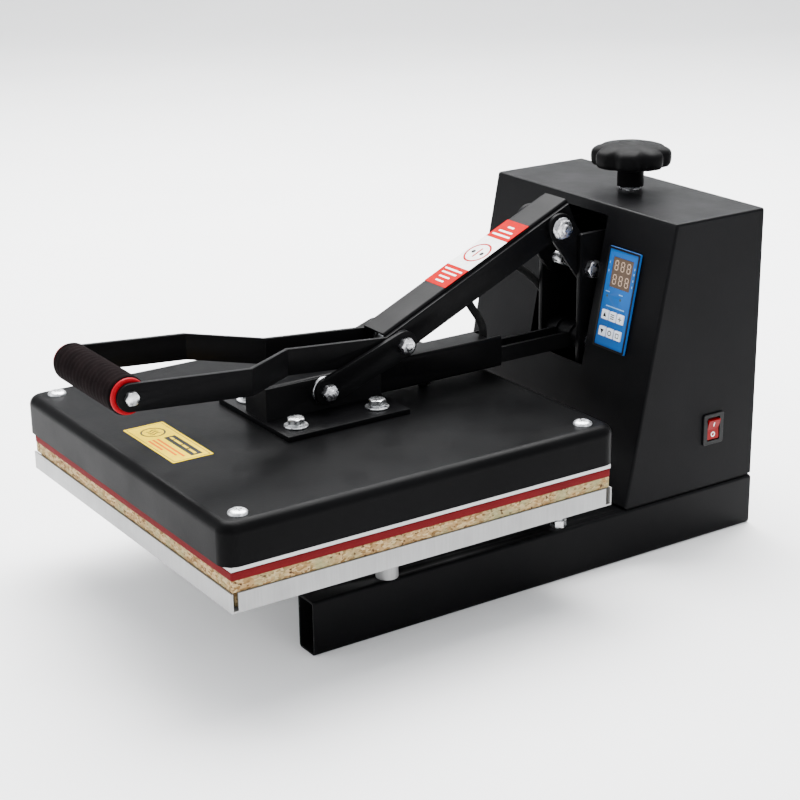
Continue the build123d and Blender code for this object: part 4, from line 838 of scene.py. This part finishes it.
def lever_label():
    """Red and white sticker on the lever's top face, with a ring, a stroke, two dots and short bars."""
    along = (PIVOT_D - PIVOT_C).normalized()
    up = X.cross(along)
    width, top = 33.0, 17.0
    start, white_start, white_end, end = 64.0, 93.0, 141.2, 169.0
    ring_x, film_top = 117.4, 0.18
    place = local_frame(PIVOT_C + up * top * MM, up, along)

    def film(name, finish, low, high):
        """One colour of the sticker, between two distances from pivot C."""
        outline = box_outline(high - low, width, 0.0, (low + high) / 2, 0)
        printed(name, place, "lever", finish, [outline], 0.02, 0.16)

    film("lever_label_front", "label_red", start, white_start)
    film("lever_label_middle", "label_white", white_start, white_end)
    film("lever_label_rear", "label_red", white_end, end)
    ring = (disc_outline(14.2, ring_x, 0), disc_outline(12.2, ring_x, 0))
    stroke = box_outline(14, 2.0, 0.9, ring_x, 0)
    printed("lever_label_ring", place, "lever", "label_red", [stroke], film_top, holes=[ring])
    dots = [disc_outline(2.3, ring_x, 6.2), disc_outline(2.3, ring_x, -6.2)]
    printed("lever_label_dots", place, "lever", "label_dark", dots, film_top)
    bars = [box_outline(2.0, w, 0.5, x, 0) for x, w in ((70, 12), (76, 16), (82, 22), (87.5, 26))]
    bars += [box_outline(2.2, w, 0.5, x, 0) for x, w in ((147, 26), (153, 20), (160, 9))]
    printed("lever_label_bars", place, "lever", "label_white", bars, film_top)


# ---------------------------------------------------------------- control panel
def panel_place(node):
    """Frame on the control panel over a node's middle: local x is right and y is up the slope."""
    low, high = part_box(node)
    points = [Vector(v.co) for v in NODES[node].data.vertices]
    front = max(p.dot(PANEL_OUT) for p in points)
    ups = [p.dot(PANEL_UP) for p in points]
    middle = X * (low.x + high.x) / 2 + PANEL_UP * (min(ups) + max(ups)) / 2 + PANEL_OUT * front
    return local_frame(middle, PANEL_OUT, X)


def digit_outlines(x, y, width, height, thick, lit):
    """Seven-segment figure: outlines of the segments named in lit."""
    w, h = width / 2, height / 2
    bars = {"a": (0, h, 1), "g": (0, 0, 1), "d": (0, -h, 1), "f": (-w, h / 2, 0), "b": (w, h / 2, 0),
            "e": (-w, -h / 2, 0), "c": (w, -h / 2, 0)}
    outlines = []
    for key in lit:
        cx, cy, flat = bars[key]
        length = (width if flat else h) - thick * 0.7
        size = (length, thick) if flat else (thick, length)
        outlines.append(box_outline(size[0], size[1], thick * 0.45, x + cx, y + cy, 3))
    return outlines


def panel_pieces():
    """Display, marks, dark rim and key symbols of the control panel."""
    window = panel_place("display_window")
    digits = []
    for row_y in (6.7, -6.7):
        for x in (-8.6, 0.0, 8.6):
            digits += digit_outlines(x, row_y, 4.2, 8.6, 1.05, "abcdefg")
    printed("display_face", window, "root", "display_face", [box_outline(28.0, 28.5, 0.3)], 0.02, 0.06)
    printed("display_digits", window, "root", "display_segment", digits, 0.08, 0.04)
    panel = panel_place("control_fascia")
    marks = [box_outline(0.9, 2.2, 0.2, 17.6, y) for y in (33, 28, 22, 16)]
    marks += [box_outline(0.9, 2.2, 0.2, -17.6, y) for y in (33, 25)]
    marks += [box_outline(5.5, 0.9, 0.2, x, 5.6) for x in (-14.2, 4.9)]
    marks += [box_outline(26, 1.1, 0.3, 0, -7.6)]
    printed("fascia_marks", panel, "root", "lamp_lens", marks, 0.0, 0.05)
    rim = (box_outline(44.3, 95.8, 1.6), box_outline(40.1, 91.6, 1.0))
    printed("fascia_rim", panel, "root", "housing_black", [], 0.0, 0.6, [rim])
    legends = {1: "triangle_down", 2: "triangle_up", 3: "ring", 4: "bars", 5: "square", 6: "cross"}
    for number, kind in legends.items():
        key_legend(number, kind)


def key_legend(number, kind):
    """Small plain symbol on a keycap."""
    place = panel_place(f"key_{number}")
    outlines, holes = [], []
    if kind == "triangle_up":
        outlines = [[(-2.4, -1.8), (2.4, -1.8), (0, 2.4)]]
    elif kind == "triangle_down":
        outlines = [[(-2.4, 1.8), (0, -2.4), (2.4, 1.8)]]
    elif kind == "ring":
        holes = [(disc_outline(2.6), disc_outline(1.7))]
    elif kind == "bars":
        outlines = [box_outline(5.0, 0.9, 0.2, 0, y) for y in (-1.9, 0, 1.9)]
    elif kind == "square":
        holes = [(box_outline(4.6, 4.6, 0.5), box_outline(3.0, 3.0, 0.3))]
    else:
        outlines = [box_outline(4.8, 0.9, 0.2)]
        outlines += [box_outline(0.9, 1.8, 0.2, 0, y) for y in (1.5, -1.5)]
    printed(f"key_{number}_legend", place, f"key_{number}", "label_dark", outlines, 0.0, 0.05, holes)


def switch_marks():
    """Plain bar and ring on the two halves of the switch's paddle."""
    tilt = radians(7.0)
    pivot = Vector(JOINT["switch_tilt"]["pos_m"])
    out = Vector((cos(tilt), 0, -sin(tilt)))
    up = Vector((sin(tilt), 0, cos(tilt)))
    slope = atan2(1.8, 10.4)

    def half_place(side):
        """Frame on the middle of the paddle's upper (1) or lower (-1) half."""
        normal = (out * cos(slope) - up * side * sin(slope)).normalized()
        middle = pivot + (out * 5.1 + up * side * 5.2) * MM
        return local_frame(middle, normal, Y)

    sunk, thick = -0.02, 0.08
    bar = [box_outline(1.1, 4.6, 0.4)]
    ring = [(disc_outline(2.5), disc_outline(1.6))]
    printed("switch_mark_bar", half_place(1), "switch", "label_white", bar, sunk, thick)
    printed("switch_mark_ring", half_place(-1), "switch", "label_white", [], sunk, thick, ring)


# ---------------------------------------------------------------- heater lead

def centre_line(points):
    """Points along the route's own smooth NURBS spline."""
    data = bpy.data.curves.new("lead_line", "CURVE")
    data.dimensions = "3D"
    spline = data.splines.new("NURBS")
    spline.points.add(len(points) - 1)
    for point, place in zip(spline.points, points):
        point.co = (*place, 1)
    spline.order_u = 3
    spline.use_endpoint_u = True
    spline.resolution_u = 10
    guide = bpy.data.objects.new("lead_line", data)
    bpy.context.scene.collection.objects.link(guide)
    bpy.context.view_layer.update()
    mesh = bpy.data.meshes.new_from_object(guide)
    line = [Vector(v.co) for v in mesh.vertices]
    bpy.data.objects.remove(guide)
    return line


def tube_along(shape, line, radius, steps):
    """Round tube along a line, its section carried along without twisting."""
    heading = (line[1] - line[0]).normalized()
    side_x = heading.orthogonal().normalized()
    rings = []
    for i, point in enumerate(line):
        ahead = (line[min(i + 1, len(line) - 1)] - line[max(i - 1, 0)]).normalized()
        side_x = (side_x - ahead * side_x.dot(ahead)).normalized()
        side_y = ahead.cross(side_x)
        r = radius * MM
        ring = [point + side_x * r * cos(2 * pi * k / steps) + side_y * r * sin(2 * pi * k / steps)
                for k in range(steps)]
        rings.append([tuple(p / MM) for p in ring])
    shape.skin(rings)


def lead_piece():
    """Sleeved lead from the cover to the cabinet."""
    pad_y = centre("silicone_pad").y
    line = centre_line([Vector((x * MM, pad_y + y * MM, z * MM)) for x, y, z in LEAD_ROUTE])
    lead = Shape()
    inset = 0.15
    tube_along(lead, line, LEAD_D / 2 - inset, 24)
    lead = lead.piece("heater_lead_sleeve", None, "lead_sleeve", "heater_lead", sharp=60)
    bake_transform(lead)


# ---------------------------------------------------------------- stage
def make_stage():
    """Pale floor that curves up behind the machine."""
    mesh = bpy.data.meshes.new("floor")
    near, far, rise, wall_top, half_width, steps = -5.0, 3.2, 1.4, 6.0, 9, 16
    angles = [pi / 2 * i / steps for i in range(1, steps + 1)]
    profile = [(near, 0.0), (far, 0.0)]
    profile += [(far + rise * sin(a), rise - rise * cos(a)) for a in angles]
    profile.append((far + rise, wall_top))
    verts = [(x, y, z) for y, z in profile for x in (-half_width, half_width)]
    faces = [(2 * i, 2 * i + 1, 2 * i + 3, 2 * i + 2) for i in range(len(profile) - 1)]
    mesh.from_pydata(verts, [], faces)
    for face in mesh.polygons:
        face.use_smooth = True
    floor = bpy.data.objects.new("floor", mesh)
    floor.rotation_euler = (0, 0, CAMERA_AZIMUTH)
    bpy.context.scene.collection.objects.link(floor)
    paper = Finish("floor_paper", (0.92, 0.92, 0.92), 0.9)
    paper.colour(paper.ramp(paper.noise(3, 2), (0.3, (0.91, 0.91, 0.91)), (0.7, (0.94, 0.94, 0.94))))
    mesh.materials.append(paper.material)


# ---------------------------------------------------------------- run
make_camera()
make_lights()
make_stage()
dress_nodes()
make_inks()
cover_screw_pieces()
mounting_bolt_pieces()
pivot_bolt_pieces()
grip_pieces()
knob_piece()
cover_label()
lever_label()
panel_pieces()
switch_marks()
lead_piece()
for node, width in ROUNDED.items():
    softened(node, width)
